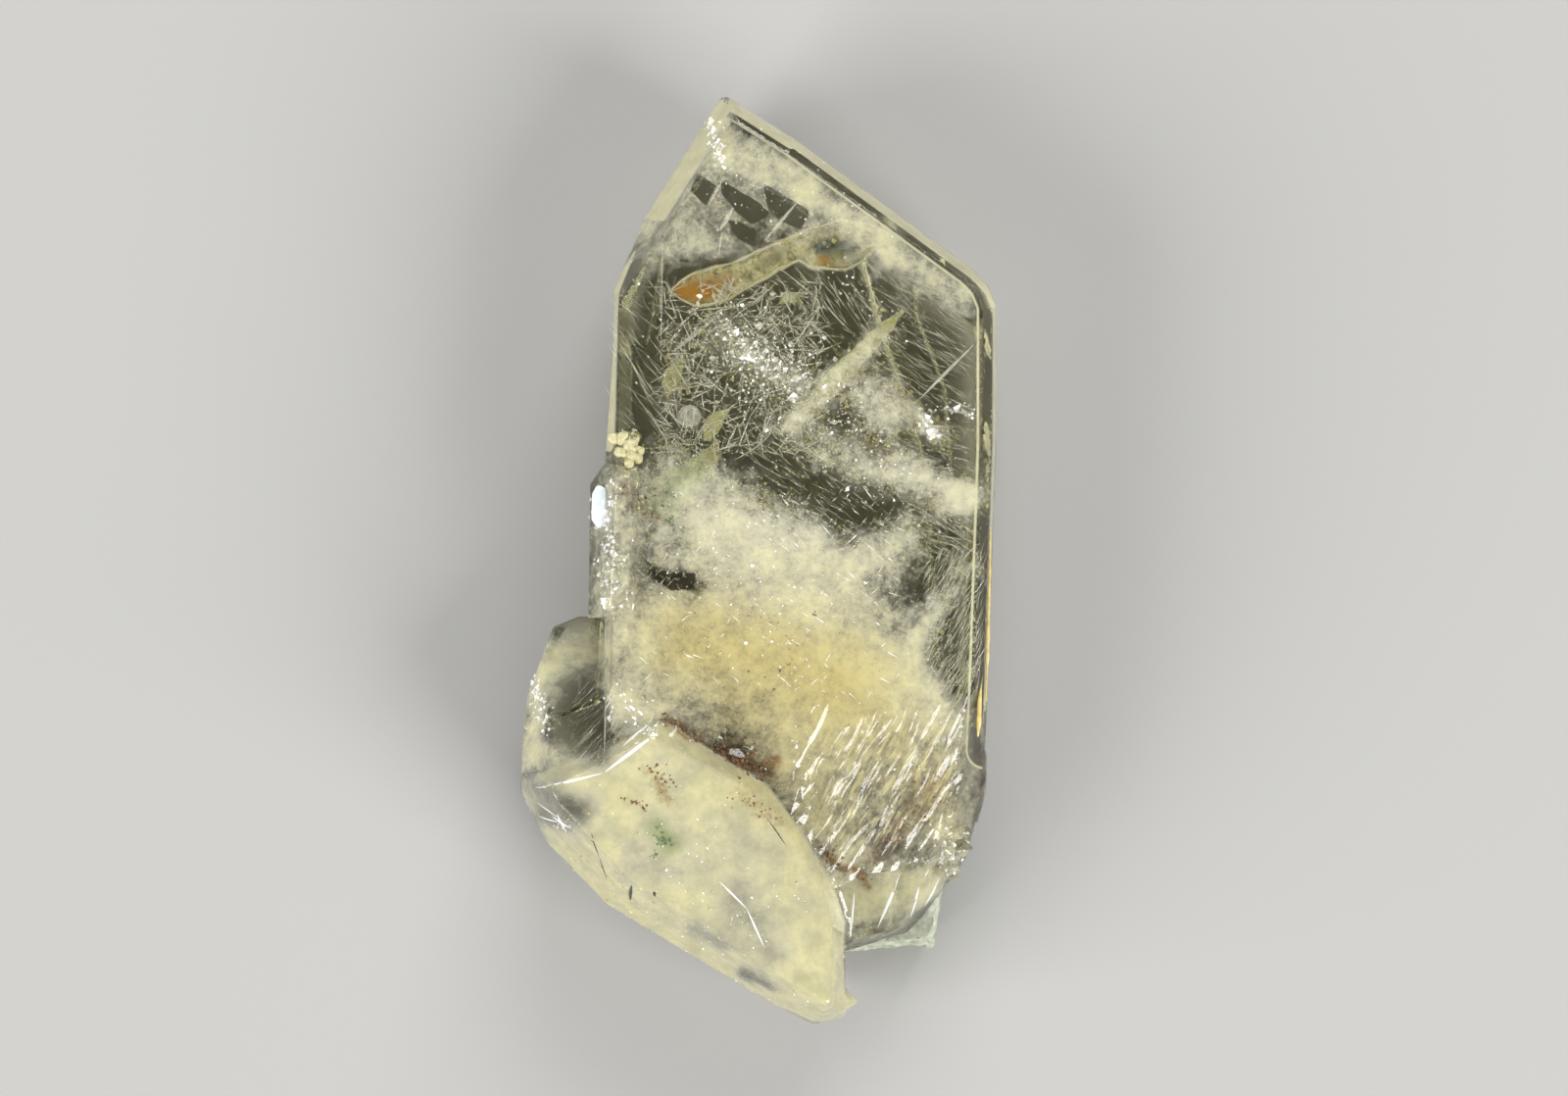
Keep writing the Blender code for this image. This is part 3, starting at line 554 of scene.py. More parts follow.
def make_piece(name, points, faces, mat):
    """A piece from points in millimetres and lists of corners, its faces turned outwards."""
    mesh = bpy.data.meshes.new(name)
    mesh.from_pydata((points * MM).tolist(), [], faces)
    bm = bmesh.new()
    bm.from_mesh(mesh)
    bmesh.ops.recalc_face_normals(bm, faces=bm.faces[:])
    bm.to_mesh(mesh)
    bm.free()
    return add_piece(name, mesh, mat)


def paint(mesh, layers):
    """Store a value for each vertex in each layer, for the material to read."""
    for name, values in layers.items():
        mesh.attributes.new(name, "FLOAT", "POINT").data.foreach_set("value", values)


def join(parts):
    """Several (points, faces) as one."""
    points = np.concatenate([p for p, _ in parts])
    starts = np.cumsum([0] + [len(p) for p, _ in parts[:-1]])
    faces = [[int(i + start) for i in face] for (_, fs), start in zip(parts, starts) for face in fs]
    return points, faces


def ring_faces(rings, around):
    """Quads between neighbouring rings of around points each."""
    ring = np.arange(around)
    pairs = np.stack([ring, (ring + 1) % around], 1)
    strip = np.concatenate([pairs, pairs[:, ::-1] + around], 1)
    return (strip + around * np.arange(rings - 1)[:, None, None]).reshape(-1, 4).tolist()


def capped_faces(rings, around):
    """Those quads and a fan from each end ring to its pole, which comes after the rings."""
    first = rings * around
    end = first - around
    ring = np.arange(around)
    after = (ring + 1) % around
    pole = np.full(around, first)
    fans = [np.stack([pole, after, ring], 1), np.stack([pole + 1, end + ring, end + after], 1)]
    return ring_faces(rings, around) + np.concatenate(fans).tolist()


def sideways(path):
    """Level unit vectors across the path, to its right."""
    along = np.gradient(path[:, :2], axis=0)
    along /= np.linalg.norm(along, axis=1, keepdims=True)
    return np.column_stack([along[:, 1], -along[:, 0], np.zeros(len(path))])


def tube(path, half_width, half_depth, around):
    """A closed tube: an ellipse across each station of the path, half_width in plan, half_depth in z."""
    angle = np.linspace(0, 2 * math.pi, around, endpoint=False)[None, :, None]
    side = half_width[:, None, None] * np.cos(angle) * sideways(path)[:, None]
    lift = half_depth[:, None, None] * np.sin(angle) * UP
    rings = (path[:, None] + side + lift).reshape(-1, 3)
    return np.concatenate([rings, path[:1], path[-1:]]), capped_faces(len(path), around)


def stretched(stations, count):
    """The stations' columns, spread evenly over count steps and smoothed three times."""
    stations = np.array(stations, float)
    place = np.linspace(0, len(stations) - 1, count)
    columns = [np.interp(place, np.arange(len(stations)), column) for column in stations.T]
    table = np.stack(columns, 1)
    for _ in range(3):
        table[1:-1] = (table[:-2] + 2 * table[1:-1] + table[2:]) / 4
    return table


FLAKE = np.array([(1, 0, 0), (0, 1, 0), (-1, 0, 0), (0, -1, 0), (0, 0, 1), (0, 0, -1)], float)
FLAKE_SIDES = [(0, 1, 4), (1, 2, 4), (2, 3, 4), (3, 0, 4), (1, 0, 5), (2, 1, 5), (3, 2, 5), (0, 3, 5)]
FLAKE_UNEVEN = 0.45


def flakes(centres, size, flat, rng, tilt, turn=None, stretch=1.0):
    """Many closed flakes, size across and flat thick: four uneven rim points and two poles each."""
    count = len(centres)
    turn = rng.uniform(0, 2 * math.pi, count) if turn is None else turn
    lean = rng.normal(0, tilt, (count, 2))
    x_axis = np.stack([np.cos(turn), np.sin(turn), lean[:, 0]], 1)
    x_axis /= np.linalg.norm(x_axis, axis=1, keepdims=True)
    y_axis = np.stack([-np.sin(turn), np.cos(turn), lean[:, 1]], 1)
    z_axis = np.cross(x_axis, y_axis)
    z_axis /= np.linalg.norm(z_axis, axis=1, keepdims=True)
    y_axis = np.cross(z_axis, x_axis)
    size = np.broadcast_to(size, count)[:, None]
    axes = np.stack([x_axis * size * stretch, y_axis * size, z_axis * flat], 1)
    shape = FLAKE * (1 + rng.uniform(-FLAKE_UNEVEN, FLAKE_UNEVEN, (count, len(FLAKE), 1)))
    points = centres[:, None] + np.einsum("nkj,njc->nkc", shape, axes)
    faces = np.array(FLAKE_SIDES) + (np.arange(count) * len(FLAKE))[:, None, None]
    return points.reshape(-1, 3), faces.reshape(-1, 3).tolist()


# Crystal body


def merged_copy(node):
    """The CAD node's mesh as one skin with flat faces, in millimetres."""
    bm = bmesh.new()
    bm.from_mesh(node.data)
    bmesh.ops.scale(bm, vec=(1 / MM, 1 / MM, 1 / MM), verts=bm.verts)
    bmesh.ops.remove_doubles(bm, verts=bm.verts, dist=MERGE_GAP)
    bmesh.ops.dissolve_limit(bm, angle_limit=FLAT_ANGLE, verts=bm.verts, edges=bm.edges)
    return bm


def halve(bm, longest):
    """Halve the edges that are too long, and part the faces into triangles again."""
    long_edges = [edge for edge in bm.edges if edge.calc_length() > longest(edge)]
    bmesh.ops.subdivide_edges(bm, edges=long_edges, cuts=1)
    bmesh.ops.triangulate(bm, faces=bm.faces)


def facet_size(edge):
    """The longest an edge may be: least on the etched front and most off the front."""
    middle = (edge.verts[0].co + edge.verts[1].co) / 2
    if middle.z < FRONT_ZONE or any(face.normal.z < 0.5 for face in edge.link_faces):
        return SIDE_FACET if middle.z > 0.1 else 2 * SIDE_FACET
    etched = middle.x > 1.6 and -18 < middle.y < -7 and middle.z < FRONT + 0.1
    return ETCHED_FACET if etched else FRONT_FACET


def refine(bm):
    """Halve long edges, and turn edges in flat faces so that the triangles stay even."""
    bmesh.ops.triangulate(bm, faces=bm.faces)
    for _ in range(HALVINGS):
        halve(bm, facet_size)
        inner = [edge for edge in bm.edges if edge.is_manifold and edge.calc_face_angle() < 0.01]
        bmesh.ops.beautify_fill(bm, faces=bm.faces, edges=inner)


def vertex_arrays(bm):
    """The vertices' places and normals."""
    bm.normal_update()
    return np.array([vert.co for vert in bm.verts]), np.array([vert.normal for vert in bm.verts])


def distance_from(marked, points, ends):
    """How far each vertex is from a marked one along the edges."""
    far = np.where(marked, 0.0, FAR)
    length = np.linalg.norm(points[ends[:, 0]] - points[ends[:, 1]], axis=1)
    for _ in range(CREASE_ROUNDS):
        for a, b in ((0, 1), (1, 0)):
            np.minimum.at(far, ends[:, a], far[ends[:, b]] + length)
    return far


def etched_ridges(points):
    """Height of the etch ridges: creases of noise, long along the run and short across it."""
    along = points[:, 0] * math.cos(RIDGE_ANGLE) + points[:, 1] * math.sin(RIDGE_ANGLE)
    across = points[:, 0] * math.sin(RIDGE_ANGLE) - points[:, 1] * math.cos(RIDGE_ANGLE)
    across = across + 0.22 * lattice_noise(points * (1, 1, 0), 1.6, 30)
    height = np.zeros(len(points))
    for share, pitch, seed in ((1.0, RIDGE_PITCH, 31), (0.5, 0.45 * RIDGE_PITCH, 41)):
        place = np.stack([along / RIDGE_STRETCH, across, np.full(len(points), 0.3)], 1)
        crest = 1 - np.abs(lattice_noise(place, pitch, seed)) / 0.6
        height += share * (np.clip(crest, 0, 1) ** 1.6 - 0.4)
    return RIDGE_HEIGHT * height


def smooth_heights(heights, chosen, ends, rounds):
    """The heights, with the chosen vertices' evened out with their neighbours'."""
    count = np.bincount(ends.ravel(), minlength=len(heights))
    for _ in range(rounds):
        total = np.zeros(len(heights))
        np.add.at(total, ends[:, 0], heights[ends[:, 1]])
        np.add.at(total, ends[:, 1], heights[ends[:, 0]])
        heights = np.where(chosen, total / count, heights)
    return heights


def grown(bm):
    """The vertices' places with the relief worked in, and how deep each is in the etched stretch. The
    relief is growth noise along the normal, held back at creases, and ridges on the etched front."""
    points, normals = vertex_arrays(bm)
    ends = np.array([[vert.index for vert in edge.verts] for edge in bm.edges])
    crease = np.array([edge.calc_face_angle(math.pi) > CREASE_ANGLE for edge in bm.edges])
    etched = inside_by(points[:, :2], ETCHED_AREA)
    near_front = (points[:, 2] > 8.6) & (points[:, 2] < FRONT + 0.15)
    on_etched = (etched > 0.1) & (normals[:, 2] > 0.25) & near_front
    points[:, 2] = smooth_heights(points[:, 2], on_etched, ends, 40)
    on_crease = np.zeros(len(points), bool)
    on_crease[ends[crease].ravel()] = True
    on_crease &= ~on_etched
    free = np.clip(distance_from(on_crease, points, ends) / CREASE_REACH, 0, 1)
    growth = relief(points, EVEN_GROWTH) + relief(points * (1, 0.35, 1), LONG_GROWTH)
    growth += milkiness(points) * relief(points, MILKY_GROWTH)
    deep = np.clip(etched / ETCHED_FADE, 0, 1) * on_etched
    height = growth * free + deep * etched_ridges(points) * np.clip(free * 2, 0, 1)
    return points + normals * height[:, None], deep


def body_layers(points, deep):
    """What the crystal's material reads at each vertex. Cloud and haze fade below the front."""
    plan = ragged(points, 0.35, 1.1, 61)
    milky = milkiness(points)
    rim, inset, band = painted_rim_layers(points)
    low = np.where((milky > 0) | (points[:, 1] < -23), 2.0, 5.5)
    front_share = np.clip((points[:, 2] - low) / 1.5, 0.15, 1)
    dull = np.clip((BACK_ZONE - points[:, 2]) / BACK_FADE, 0, 1)
    return {
        "cloud": cloudiness(points) * front_share,
        "haze": haziness(points) * front_share,
        "milky": milky,
        "pane": np.clip(pane_depth(points), -1, 1),
        # The rim and its inner line are painted highlights; the band is the strength of painted shade beside
        # them
        "rim": rim,
        "inset": inset,
        "band": band,
        "etched": deep,
        "roughness": GLASSY + BACK_ROUGHNESS * dull + ETCHED_ROUGHNESS * deep,
        "tan": strokes(plan, TAN),
        "rust": strokes(plan, RUST),
        "green": strokes(plan, GREEN),
    }


def skin_mesh(name, bm, points):
    """The bmesh as a mesh, with its vertices moved to the points."""
    mesh = bpy.data.meshes.new(name)
    bm.to_mesh(mesh)
    bm.free()
    mesh.vertices.foreach_set("co", (points * MM).astype(np.float32).ravel())
    mesh.update()
    mesh.shade_smooth()
    return mesh


def crystal_body(mat):
    """The intergrown crystals: the CAD solid's faces with growth relief and etch ridges."""
    bm = merged_copy(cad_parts[CRYSTAL])
    refine(bm)
    bm.verts.index_update()
    points, deep = grown(bm)
    mesh = skin_mesh("crystal_body", bm, points)
    paint(mesh, body_layers(points, deep))
    mesh.set_sharp_from_angle(angle=SHARP_ANGLE)
    obj = add_piece("crystal_body", mesh, mat)
    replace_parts(obj, CRYSTAL)
    return obj


# Materials


COLOURS = {"data_type": "RGBA"}
SMOOTH = {"interpolation_type": "SMOOTHSTEP"}
PLUS = {"operation": "ADD"}
MINUS = {"operation": "SUBTRACT"}
TIMES = {"operation": "MULTIPLY"}
TIMES_PLUS = {"operation": "MULTIPLY_ADD"}
GREATER = {"operation": "MAXIMUM"}


def add(tree, kind, settings, *inputs):
    """Add a node: settings by name or number, then inputs in order. What is an output gets linked."""
    node = tree.nodes.new("ShaderNode" + kind)
    for key, value in [*settings.items(), *enumerate(inputs)]:
        if isinstance(value, bpy.types.NodeSocket):
            tree.links.new(value, node.inputs[key])
        elif isinstance(key, str) and hasattr(node, key):
            setattr(node, key, value)
        else:
            node.inputs[key].default_value = value
    return node.outputs


def new_material(name):
    """An empty material: its tree, its output's inputs and Object coordinates."""
    mat = bpy.data.materials.new(name)
    mat.use_nodes = True
    tree = mat.node_tree
    tree.nodes.clear()
    ends = tree.nodes.new("ShaderNodeOutputMaterial").inputs
    return mat, tree, ends, add(tree, "TexCoord", {})["Object"]


def grain(tree, place, size, detail=3.0, rough=0.55):
    """Noise whose lumps are size millimetres across."""
    settings = {"Scale": 1 / (size * MM), "Detail": detail, "Roughness": rough}
    return add(tree, "TexNoise", settings, place)["Fac"]


def layer(tree, name):
    """A painted layer's values."""
    return add(tree, "Attribute", {"attribute_name": name})["Fac"]


def silky_streaks(tree, place):
    """Fine streaks along the etch ridges, six times as long as they are wide."""
    settings = {"vector_type": "TEXTURE", "Rotation": (0, 0, RIDGE_ANGLE), "Scale": (6.0, 1.0, 1.0)}
    return grain(tree, add(tree, "Mapping", settings, place)[0], 0.24, 3.0, 0.6)


def painted_haze(tree, fine, cells):
    """The painted haze, broken up by two sizes of noise that are calmer in the milky crystal."""
    soft = layer(tree, "haze")
    for noise, calming, most in ((fine, -0.85, 1.1), (cells, -0.5, 0.9)):
        calm = add(tree, "Math", TIMES_PLUS, layer(tree, "milky"), calming, most)[0]
        part = add(tree, "Math", MINUS, noise, 0.5)[0]
        part = add(tree, "Math", TIMES, part, calm)[0]
        soft = add(tree, "Math", PLUS, soft, part)[0]
    return add(tree, "MapRange", SMOOTH, soft, 0.05, 1.1, 0.0, 0.78)[0]


def haze_share(tree, fine, cells, silk):
    """The painted haze less panes and the dark band of painted shade, or the pale rim and line of painted
    highlight, or silk, where that is more.
    """
    inset, band = layer(tree, "inset"), layer(tree, "band")
    outside = add(tree, "MapRange", SMOOTH, layer(tree, "pane"), -0.04, 0.05, 1.0, 0.08)[0]
    # Painted shade: within the dark band the haze is taken away, so that the strip reads dark
    near = add(tree, "MapRange", SMOOTH, inset, 1.0, 1.1, 0.8, 0.0)[0]
    dark = add(tree, "Math", TIMES, near, band)[0]
    lit = add(tree, "Math", MINUS, 1.0, dark)[0]
    # Painted highlights: the pale rim along the free edges and the pale line inside it
    rim = add(tree, "MapRange", SMOOTH, layer(tree, "rim"), -0.2, 0.2, 0.0, 0.66)[0]
    off = add(tree, "Math", MINUS, inset, RIM_HIGHLIGHT_LINE)[0]
    off = add(tree, "Math", {"operation": "ABSOLUTE"}, off)[0]
    line = add(tree, "MapRange", SMOOTH, off, 0.03, 0.1, 0.6, 0.0)[0]
    line = add(tree, "Math", TIMES, line, band)[0]
    silky = add(tree, "MapRange", SMOOTH, silk, 0.4, 0.66, 0.0, 0.75)[0]
    silky = add(tree, "Math", TIMES, silky, layer(tree, "etched"))[0]
    haze = painted_haze(tree, fine, cells)
    for share in (outside, lit):
        haze = add(tree, "Math", TIMES, haze, share)[0]
    for share in (rim, line, silky):
        haze = add(tree, "Math", GREATER, haze, share)[0]
    return haze


def clear_share(tree, fine, haze):
    """The share that light passes through: what neither sugary cloud nor haze takes."""
    broken = add(tree, "Math", TIMES_PLUS, fine, 1.3, -0.65)[0]
    total = add(tree, "Math", PLUS, layer(tree, "cloud"), broken)[0]
    sugar = add(tree, "MapRange", SMOOTH, total, 0.1, 1.3, 0.0, 0.4)[0]
    rest = add(tree, "Math", MINUS, 1.0, sugar)[0]
    bare = add(tree, "Math", MINUS, 1.0, haze)[0]
    return add(tree, "Math", TIMES, rest, bare)[0]


def grown_colour(tree, place, haze, cells):
    """The clear crystal, the straw and the milky haze in two shades each, and the stains on top."""
    ramp = add(tree, "MapRange", {}, cells, 0.35, 0.62)[0]
    hazes = COLOURS | {"Factor": layer(tree, "milky")}
    for socket, (dark, pale) in ((6, STRAW), (7, MILKY)):
        shades = {"Factor": ramp, 6: linear(dark), 7: linear(pale)}
        hazes[socket] = add(tree, "Mix", COLOURS | shades)[2]
    hazy = add(tree, "Mix", hazes)[2]
    base = add(tree, "Mix", COLOURS | {"Factor": haze, 6: linear(CLEAR), 7: hazy})[2]
    rusty = add(tree, "Math", PLUS, layer(tree, "rust"), grain(tree, place, 0.35, 4.0, 0.7))[0]
    rusty = add(tree, "MapRange", SMOOTH, rusty, 0.8, 1.5, 0.0, 0.85)[0]
    stains = ((layer(tree, "tan"), TAN_STAIN), (rusty, RUST_STAIN), (layer(tree, "green"), GREEN_STAIN))
    for share, shade in stains:
        base = add(tree, "Mix", COLOURS | {"Factor": share, 6: base, 7: linear(shade)})[2]
    return base


def montebrasite():
    """Montebrasite: glassy and clear, with straw haze, sugary cloud, rust and silky etching as it grew, and
    a painted highlight and painted shade along its free edges.
    """
    mat, tree, ends, place = new_material("montebrasite, grown faces")
    fine = grain(tree, place, 0.45, 8.0, 0.8)
    cells = grain(tree, place, 1.3, 5.0, 0.65)
    silk = silky_streaks(tree, place)
    haze = haze_share(tree, fine, cells, silk)
    uneven = {"Strength": 0.25, "Distance": 0.02 * MM, "Height": grain(tree, place, 0.6)}
    uneven = add(tree, "Bump", uneven)[0]
    silky = add(tree, "Math", TIMES, silk, layer(tree, "etched"))[0]
    ridged = {"Strength": 0.8, "Distance": 0.05 * MM, "Height": silky, "Normal": uneven}
    surface = {
        "Base Color": grown_colour(tree, place, haze, cells),
        "Roughness": layer(tree, "roughness"),
        "IOR": CRYSTAL_IOR,
        "Transmission Weight": clear_share(tree, fine, haze),
        "Normal": add(tree, "Bump", ridged)[0],
    }
    volume = {"Color": linear(ABSORPTION), "Density": ABSORPTION_DENSITY}
    tree.links.new(add(tree, "BsdfPrincipled", surface)[0], ends["Surface"])
    tree.links.new(add(tree, "VolumeAbsorption", volume)[0], ends["Volume"])
    return mat


def tube_filling():
    """Clay and iron stain in the etch tube: half dull, ochre at one end and dark green at the other."""
    mat, tree, ends, place = new_material("ochre and chlorite filling")
    mottle = grain(tree, place, 0.45, 4.0, 0.7)
    spread = add(tree, "MapRange", {}, mottle, 0.36, 0.6)[0]
    dark, pale = FILLING
    base = add(tree, "Mix", COLOURS | {"Factor": spread, 6: linear(dark), 7: linear(pale)})[2]
    for name, shade in FILLING_ENDS.items():
        share = add(tree, "Math", TIMES_PLUS, mottle, 1.5, -0.4)[0]
        share = add(tree, "Math", PLUS, share, layer(tree, name))[0]
        share = add(tree, "MapRange", {}, share, 0.5, 1.25)[0]
        base = add(tree, "Mix", COLOURS | {"Factor": share, 6: base, 7: linear(shade)})[2]
    surface = add(tree, "BsdfPrincipled", {"Base Color": base, "Roughness": 0.35})
    tree.links.new(surface[0], ends["Surface"])
    return mat


def mineral(kind, bump=SMOOTH_BUMP):
    """An opaque mineral in two shades, mottled and finely rough, by its row in the table."""
    name, pale, dark, size, roughness = MINERALS[kind]
    mat, tree, ends, place = new_material(name)
    mottle = grain(tree, place, size, 4.0, 0.65)
    share = add(tree, "MapRange", {}, mottle, 0.35, 0.65)[0]
    base = add(tree, "Mix", COLOURS | {"Factor": share, 6: linear(dark), 7: linear(pale)})[2]
    normal = add(tree, "Bump", {"Strength": 0.6, "Distance": bump * MM, "Height": mottle})[0]
    surface = {"Base Color": base, "Roughness": roughness, "IOR": MINERAL_IOR, "Normal": normal}
    tree.links.new(add(tree, "BsdfPrincipled", surface)[0], ends["Surface"])
    return mat


# Inclusions


class Depths:
    """Where the crystal's front and back are above and below any plan point."""

    def __init__(self, body):
        points = [vert.co / MM for vert in body.data.vertices]
        self.tree = BVHTree.FromPolygons(points, [face.vertices for face in body.data.polygons])

    def of(self, plan):
        """Front and back height at each plan point; both are nan outside the crystal."""
        heights = []
        for start, way in ((40.0, -1.0), (-10.0, 1.0)):
            hits = [self.tree.ray_cast(Vector((x, y, start)), Vector((0, 0, way)))[0] for x, y in plan]
            heights.append(np.array([np.nan if hit is None else hit.z for hit in hits]))
        return heights


def place_in(depths, plan, shallow, deep, rng):
    """Points below the front at the plan points, most of them shallow, and clear of the back."""
    front, back = depths.of(plan)
    under = shallow + (deep - shallow) * rng.uniform(0, 1, len(plan)) ** TOWARDS_FRONT
    height = front - under
    return np.column_stack([plan, height])[height > back + BACK_MARGIN]


def cloud_flakes(name, low, high, seed, depths, mat):
    """Sugary cloud: uneven flakes under the front, as close together as the cloud is dense."""
    rng = np.random.default_rng(seed)
    plan = rng.uniform(low, high, (CLOUD_TRIES, 2))
    share = cloudiness(np.column_stack([plan, np.full(len(plan), 9.0)]))
    plan = plan[rng.uniform(0, 1, len(plan)) < share**1.6][:CLOUD_DRAWN]
    centres = place_in(depths, plan, *CLOUD_DEPTHS, rng)[:CLOUD_KEPT]
    size = CLOUD_FLAKE * rng.lognormal(0, 0.35, len(centres))
    make_piece(name, *flakes(centres, size, CLOUD_THICK, rng, tilt=0.7), mat)


def needles(depths, mat):
    """Fine needles, tangled in the middle and lined up as striations in the windows at the sides."""
    rng = np.random.default_rng(102)
    parts = []
    for count, low, high, (short, long), way, half, (shallow, deep) in NEEDLES:
        plan = rng.uniform(low, high, (count, 2))
        centres = place_in(depths, plan, shallow, deep, rng)
        if way is None:
            turn = rng.uniform(0, math.pi, len(centres))
        else:
            turn = way + rng.normal(0, NEEDLE_STRAY, len(centres))
        length = short + (long - short) * rng.uniform(0, 1, len(centres)) ** 2
        stretch = (length / half)[:, None]
        parts.append(flakes(centres, half, 0.8 * half, rng, tilt=0.12, turn=turn, stretch=stretch))
    make_piece("needles", *join(parts), mat)


def etch_tube(filling, rim):
    """The etch tube across the top: a flat bone-shaped filling and a pale strand of painted highlight on
    each side.
    """
    table = stretched(TUBE, 110)
    path = np.column_stack([table[:, :2], np.full(len(table), FRONT - TUBE_DEPTH)])
    width = table[:, 2] * (1 + 0.1 * lattice_noise(path, 0.7, 71))
    points, faces = tube(path, 0.92 * width, 0.3 * width, around=24)
    mesh = make_piece("etch_tube_filling", points, faces, filling).data
    plan = ragged(points, 0.15, 0.5, 75)
    paint(mesh, {"orange": strokes(plan, TUBE_ORANGE), "green": strokes(plan, TUBE_GREEN)})
    mesh.shade_smooth()
    strands = []
    for side, seed in ((1, 72), (-1, 73)):
        thick = 0.1 * (1 + 0.5 * lattice_noise(path, 0.5, seed))
        thick *= np.clip(8 * np.sin(np.linspace(0, math.pi, len(path))), 0.15, 1)
        strands.append(tube(path + side * width[:, None] * sideways(path), thick, 1.6 * thick, around=8))
    make_piece("etch_tube_rim_highlight", *join(strands), rim).data.shade_smooth()


def veils(mat):
    """Thin closed blades, waved and with ragged sides: a band, a leaf, a feather, a ghost and a shard."""
    parts = []
    for deep, stations in VEILS:
        table = stretched(stations, 40)
        path = np.column_stack([table[:, :2], FRONT - deep + 0.25 * lattice_noise(table, 1.0, 77)])
        width = table[:, 2] * (1 + 0.25 * lattice_noise(path, 0.4, 78))
        parts.append(tube(path, width, np.full(len(path), VEIL_THICK), around=16))
    make_piece("veils", *join(parts), mat).data.shade_smooth()


def balls(centres, radii, seed):
    """Closed knobbly balls: points by latitude and longitude, with the radius varied by noise."""
    latitude = np.linspace(-math.pi / 2, math.pi / 2, BALL_ROWS + 2)[1:-1]
    longitude = np.linspace(0, 2 * math.pi, BALL_AROUND, endpoint=False)
    lat, lon = (grid.ravel() for grid in np.meshgrid(latitude, longitude, indexing="ij"))
    unit = np.stack([np.cos(lat) * np.cos(lon), np.cos(lat) * np.sin(lon), np.sin(lat)], 1)
    unit = np.concatenate([unit, [-UP, UP]])
    out = (unit[None] * radii[:, None, None]).reshape(-1, 3)
    scale = np.repeat(radii, len(unit))[:, None]
    centre = np.repeat(centres, len(unit), axis=0)
    knobs = lattice_noise((centre + out) / scale + centre, 0.9, seed)
    points = centre + out * (1 + BALL_ROUGH * knobs)[:, None]
    one = capped_faces(BALL_ROWS, BALL_AROUND)
    return points, [[i + n * len(unit) for i in face] for n in range(len(centres)) for face in one]


def cream_crust(mat):
    """Cream crust on the left edge and beside the side crystal: knobbly balls along paths."""
    rng = np.random.default_rng(111)
    centres, radii = [], []
    for count, path, spread, sizes in CRUST:
        path = np.array(path)
        place = rng.uniform(0, len(path) - 1, count)
        middle = np.stack([np.interp(place, np.arange(len(path)), column) for column in path.T], 1)
        centres.append(middle + rng.normal(0, 1, (count, 3)) * spread)
        radii.append(rng.uniform(*sizes, count))
    points, faces = balls(np.concatenate(centres), np.concatenate(radii), 112)
    make_piece("cream_crust", points, faces, mat).data.shade_smooth()


def strewn(table, depths, band, thick, tilt, rng):
    """Small flakes strewn about the lines of a table."""
    parts = []
    for count, *line, spread, size in table:
        start, end = np.reshape(line, (2, 2))
        along = rng.uniform(0, 1, (count, 1))
        plan = start * (1 - along) + end * along + rng.normal(0, spread, (count, 2))
        centres = place_in(depths, plan, *band, rng)
        parts.append(flakes(centres, size * rng.lognormal(0, 0.4, len(centres)), thick, rng, tilt))
    return join(parts)


def stains(depths, brown, green):
    """Brown and green specks just under the surface, most of them where the two crystals meet."""
    rng = np.random.default_rng(121)
    for name, table, mat in (("brown_stains", BROWN_SPECKS, brown), ("green_stains", GREEN_SPECKS, green)):
        make_piece(name, *strewn(table, depths, SPECK_DEPTHS, SPECK_THICK, 0.5, rng), mat)


def sparkles(depths, mat):
    """Bright cleavage glints inside: small flat flakes in clusters."""
    rng = np.random.default_rng(131)
    make_piece("cleavage_glints", *strewn(GLINTS, depths, GLINT_DEPTHS, GLINT_THICK, 0.3, rng), mat)


def straight_lines(name, table, depths, mat):
    """Straight lines under the front: closed spindles, as deep as the table says."""
    parts = []
    share = np.linspace(0, 1, 7)
    for *line, half, deep in table:
        start, end = np.reshape(line, (2, 2))
        plan = np.outer(1 - share, start) + np.outer(share, end)
        front, _ = depths.of(plan)
        width = half * np.sin(math.pi * (0.04 + 0.92 * share))
        parts.append(tube(np.column_stack([plan, front - deep]), width, 0.4 * width, around=6))
    make_piece(name, *join(parts), mat)


def amber_streaks(mat):
    """Thin stained seams along the right edge: one in the roof's rim and two low down."""
    parts = []
    for stations in SEAMS:
        table = stretched(stations, 60)
        path = np.column_stack([table[:, :2], np.full(len(table), SEAM_HEIGHT)])
        width = table[:, 2] * (1 + 0.5 * lattice_noise(path, 0.6, 79))
        parts.append(tube(path, width, 0.5 * width, around=8))
    make_piece("amber_streaks", *join(parts), mat).data.shade_smooth()


def cleavage_film(mat):
    """The film on the side crystal: a flat closed blade along its upper left facet, coloured with a painted
    blue-white glint.
    """
    table = stretched(FILM, 24)
    path = np.column_stack([table[:, :2], np.full(len(table), FILM_HEIGHT)])
    blade = tube(path, table[:, 2], np.full(len(path), FILM_THICK), around=16)
    make_piece("cleavage_film", *blade, mat).data.shade_smooth()


def bubble(mat):
    """A round flat bubble: a profile of radius and height turned about its middle, capped at both ends."""
    angle = np.linspace(0, 2 * math.pi, BUBBLE_AROUND, endpoint=False)
    ring = np.stack([np.cos(angle), np.sin(angle)], 1)
    rings = [np.column_stack([radius * ring, np.full(len(ring), z)]) for radius, z in BUBBLE_RINGS]
    count = len(rings)
    cap = np.arange(BUBBLE_AROUND)
    caps = [cap.tolist(), ((count - 1) * BUBBLE_AROUND + cap[::-1]).tolist()]
    points = np.concatenate(rings) + BUBBLE_MIDDLE
    make_piece("bubble", points, ring_faces(count, BUBBLE_AROUND) + caps, mat).data.shade_smooth()


# Matrix


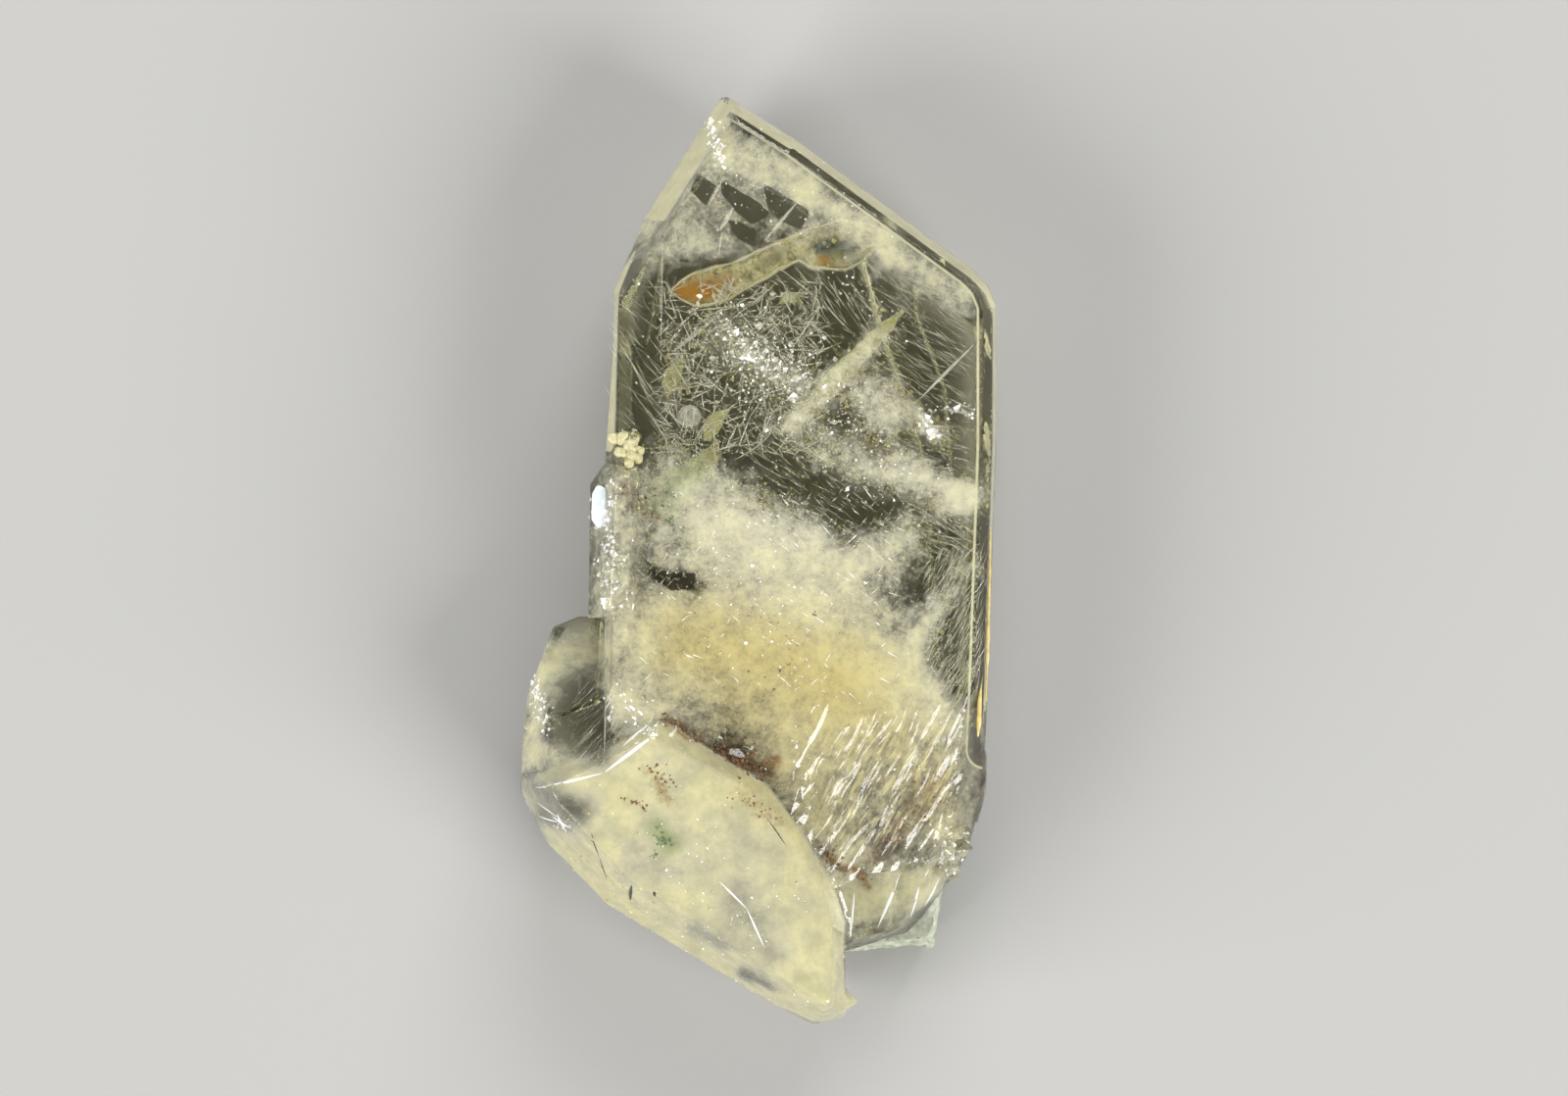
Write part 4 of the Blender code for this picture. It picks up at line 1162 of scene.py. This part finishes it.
def matrix_remnant(mat):
    """The granular remnant: the CAD solid's faces, roughened along their normals by noise."""
    bm = merged_copy(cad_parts[MATRIX])
    bmesh.ops.triangulate(bm, faces=bm.faces)
    for _ in range(MATRIX_HALVINGS):
        halve(bm, lambda edge: MATRIX_FACET)
    points, normals = vertex_arrays(bm)
    height = relief(points, COARSE_GRAINS) + relief(points, FINE_GRAINS)
    mesh = skin_mesh("matrix_grains", bm, points + normals * height[:, None])
    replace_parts(add_piece("matrix_grains", mesh, mat), MATRIX)


# Stage


def camera():
    """A camera straight above the front, which stands as high as the frame's width asks."""
    data = bpy.data.cameras.new("camera")
    data.lens = LENS
    data.sensor_width = SENSOR
    data.clip_start = 0.01
    data.clip_end = 20.0
    obj = new_object("camera", data)
    obj.location = Vector((*PHOTO_MIDDLE, OUTLINE_HEIGHT + VIEW_WIDTH * LENS / SENSOR)) * MM
    bpy.context.scene.camera = obj
    bpy.context.scene.view_settings.view_transform = "Standard"


def area_light(name, towards, size, watts):
    """A square soft light that shines on the specimen from that direction."""
    data = bpy.data.lights.new(name, "AREA")
    data.size = size
    data.energy = watts
    obj = new_object(name, data)
    way = Vector(towards).normalized()
    obj.location = way * LIGHT_DISTANCE
    obj.rotation_euler = way.to_track_quat("Z", "Y").to_euler()


def board():
    """Matt card: an even pale grey without any gloss."""
    mat, tree, ends, _ = new_material("pale matt board")
    settings = {"Base Color": linear(FLOOR_GREY), "Roughness": 0.9, "Specular IOR Level": 0.0}
    tree.links.new(add(tree, "BsdfPrincipled", settings)[0], ends["Surface"])
    return mat


def stage():
    """A plain floor just under the part, an even grey sky and the soft lights."""
    half = FLOOR_HALF
    level = -FLOOR_DROP * MM
    mesh = bpy.data.meshes.new("floor")
    corners = [(-half, -half, level), (half, -half, level), (half, half, level), (-half, half, level)]
    mesh.from_pydata(corners, [], [(0, 1, 2, 3)])
    mesh.materials.append(board())
    floor = new_object("floor", mesh)
    world = bpy.data.worlds.new("studio")
    world.use_nodes = True
    sky = world.node_tree.nodes["Background"].inputs
    sky["Color"].default_value = linear(SKY_GREY)
    sky["Strength"].default_value = SKY_STRENGTH
    bpy.context.scene.world = world
    for light in LIGHTS:
        area_light(*light)


def main():
    """The stage, the crystal and all that lies in it, and the matrix remnant."""
    camera()
    stage()
    depths = Depths(crystal_body(montebrasite()))
    milk = mineral("milk")
    cloud_flakes("cloud_flakes", (-9.6, -8.8), (13.4, 26.2), 101, depths, milk)
    cloud_flakes("milky_flakes", (-13.4, -26.2), (13.4, -8.8), 103, depths, milk)
    needles(depths, mineral("needle"))
    etch_tube(tube_filling(), mineral("etch rim"))
    veils(mineral("veil"))
    bubble(mineral("bubble"))
    cream_crust(mineral("crust"))
    stains(depths, mineral("iron"), mineral("chlorite"))
    glint = mineral("glint")
    sparkles(depths, glint)
    straight_lines("straight_glints", GLINT_LINES, depths, glint)
    straight_lines("open_cracks", CRACK_LINES, depths, mineral("crack"))
    cleavage_film(mineral("film"))
    amber_streaks(mineral("seam"))
    matrix_remnant(mineral("matrix", GRAINY_BUMP))


main()
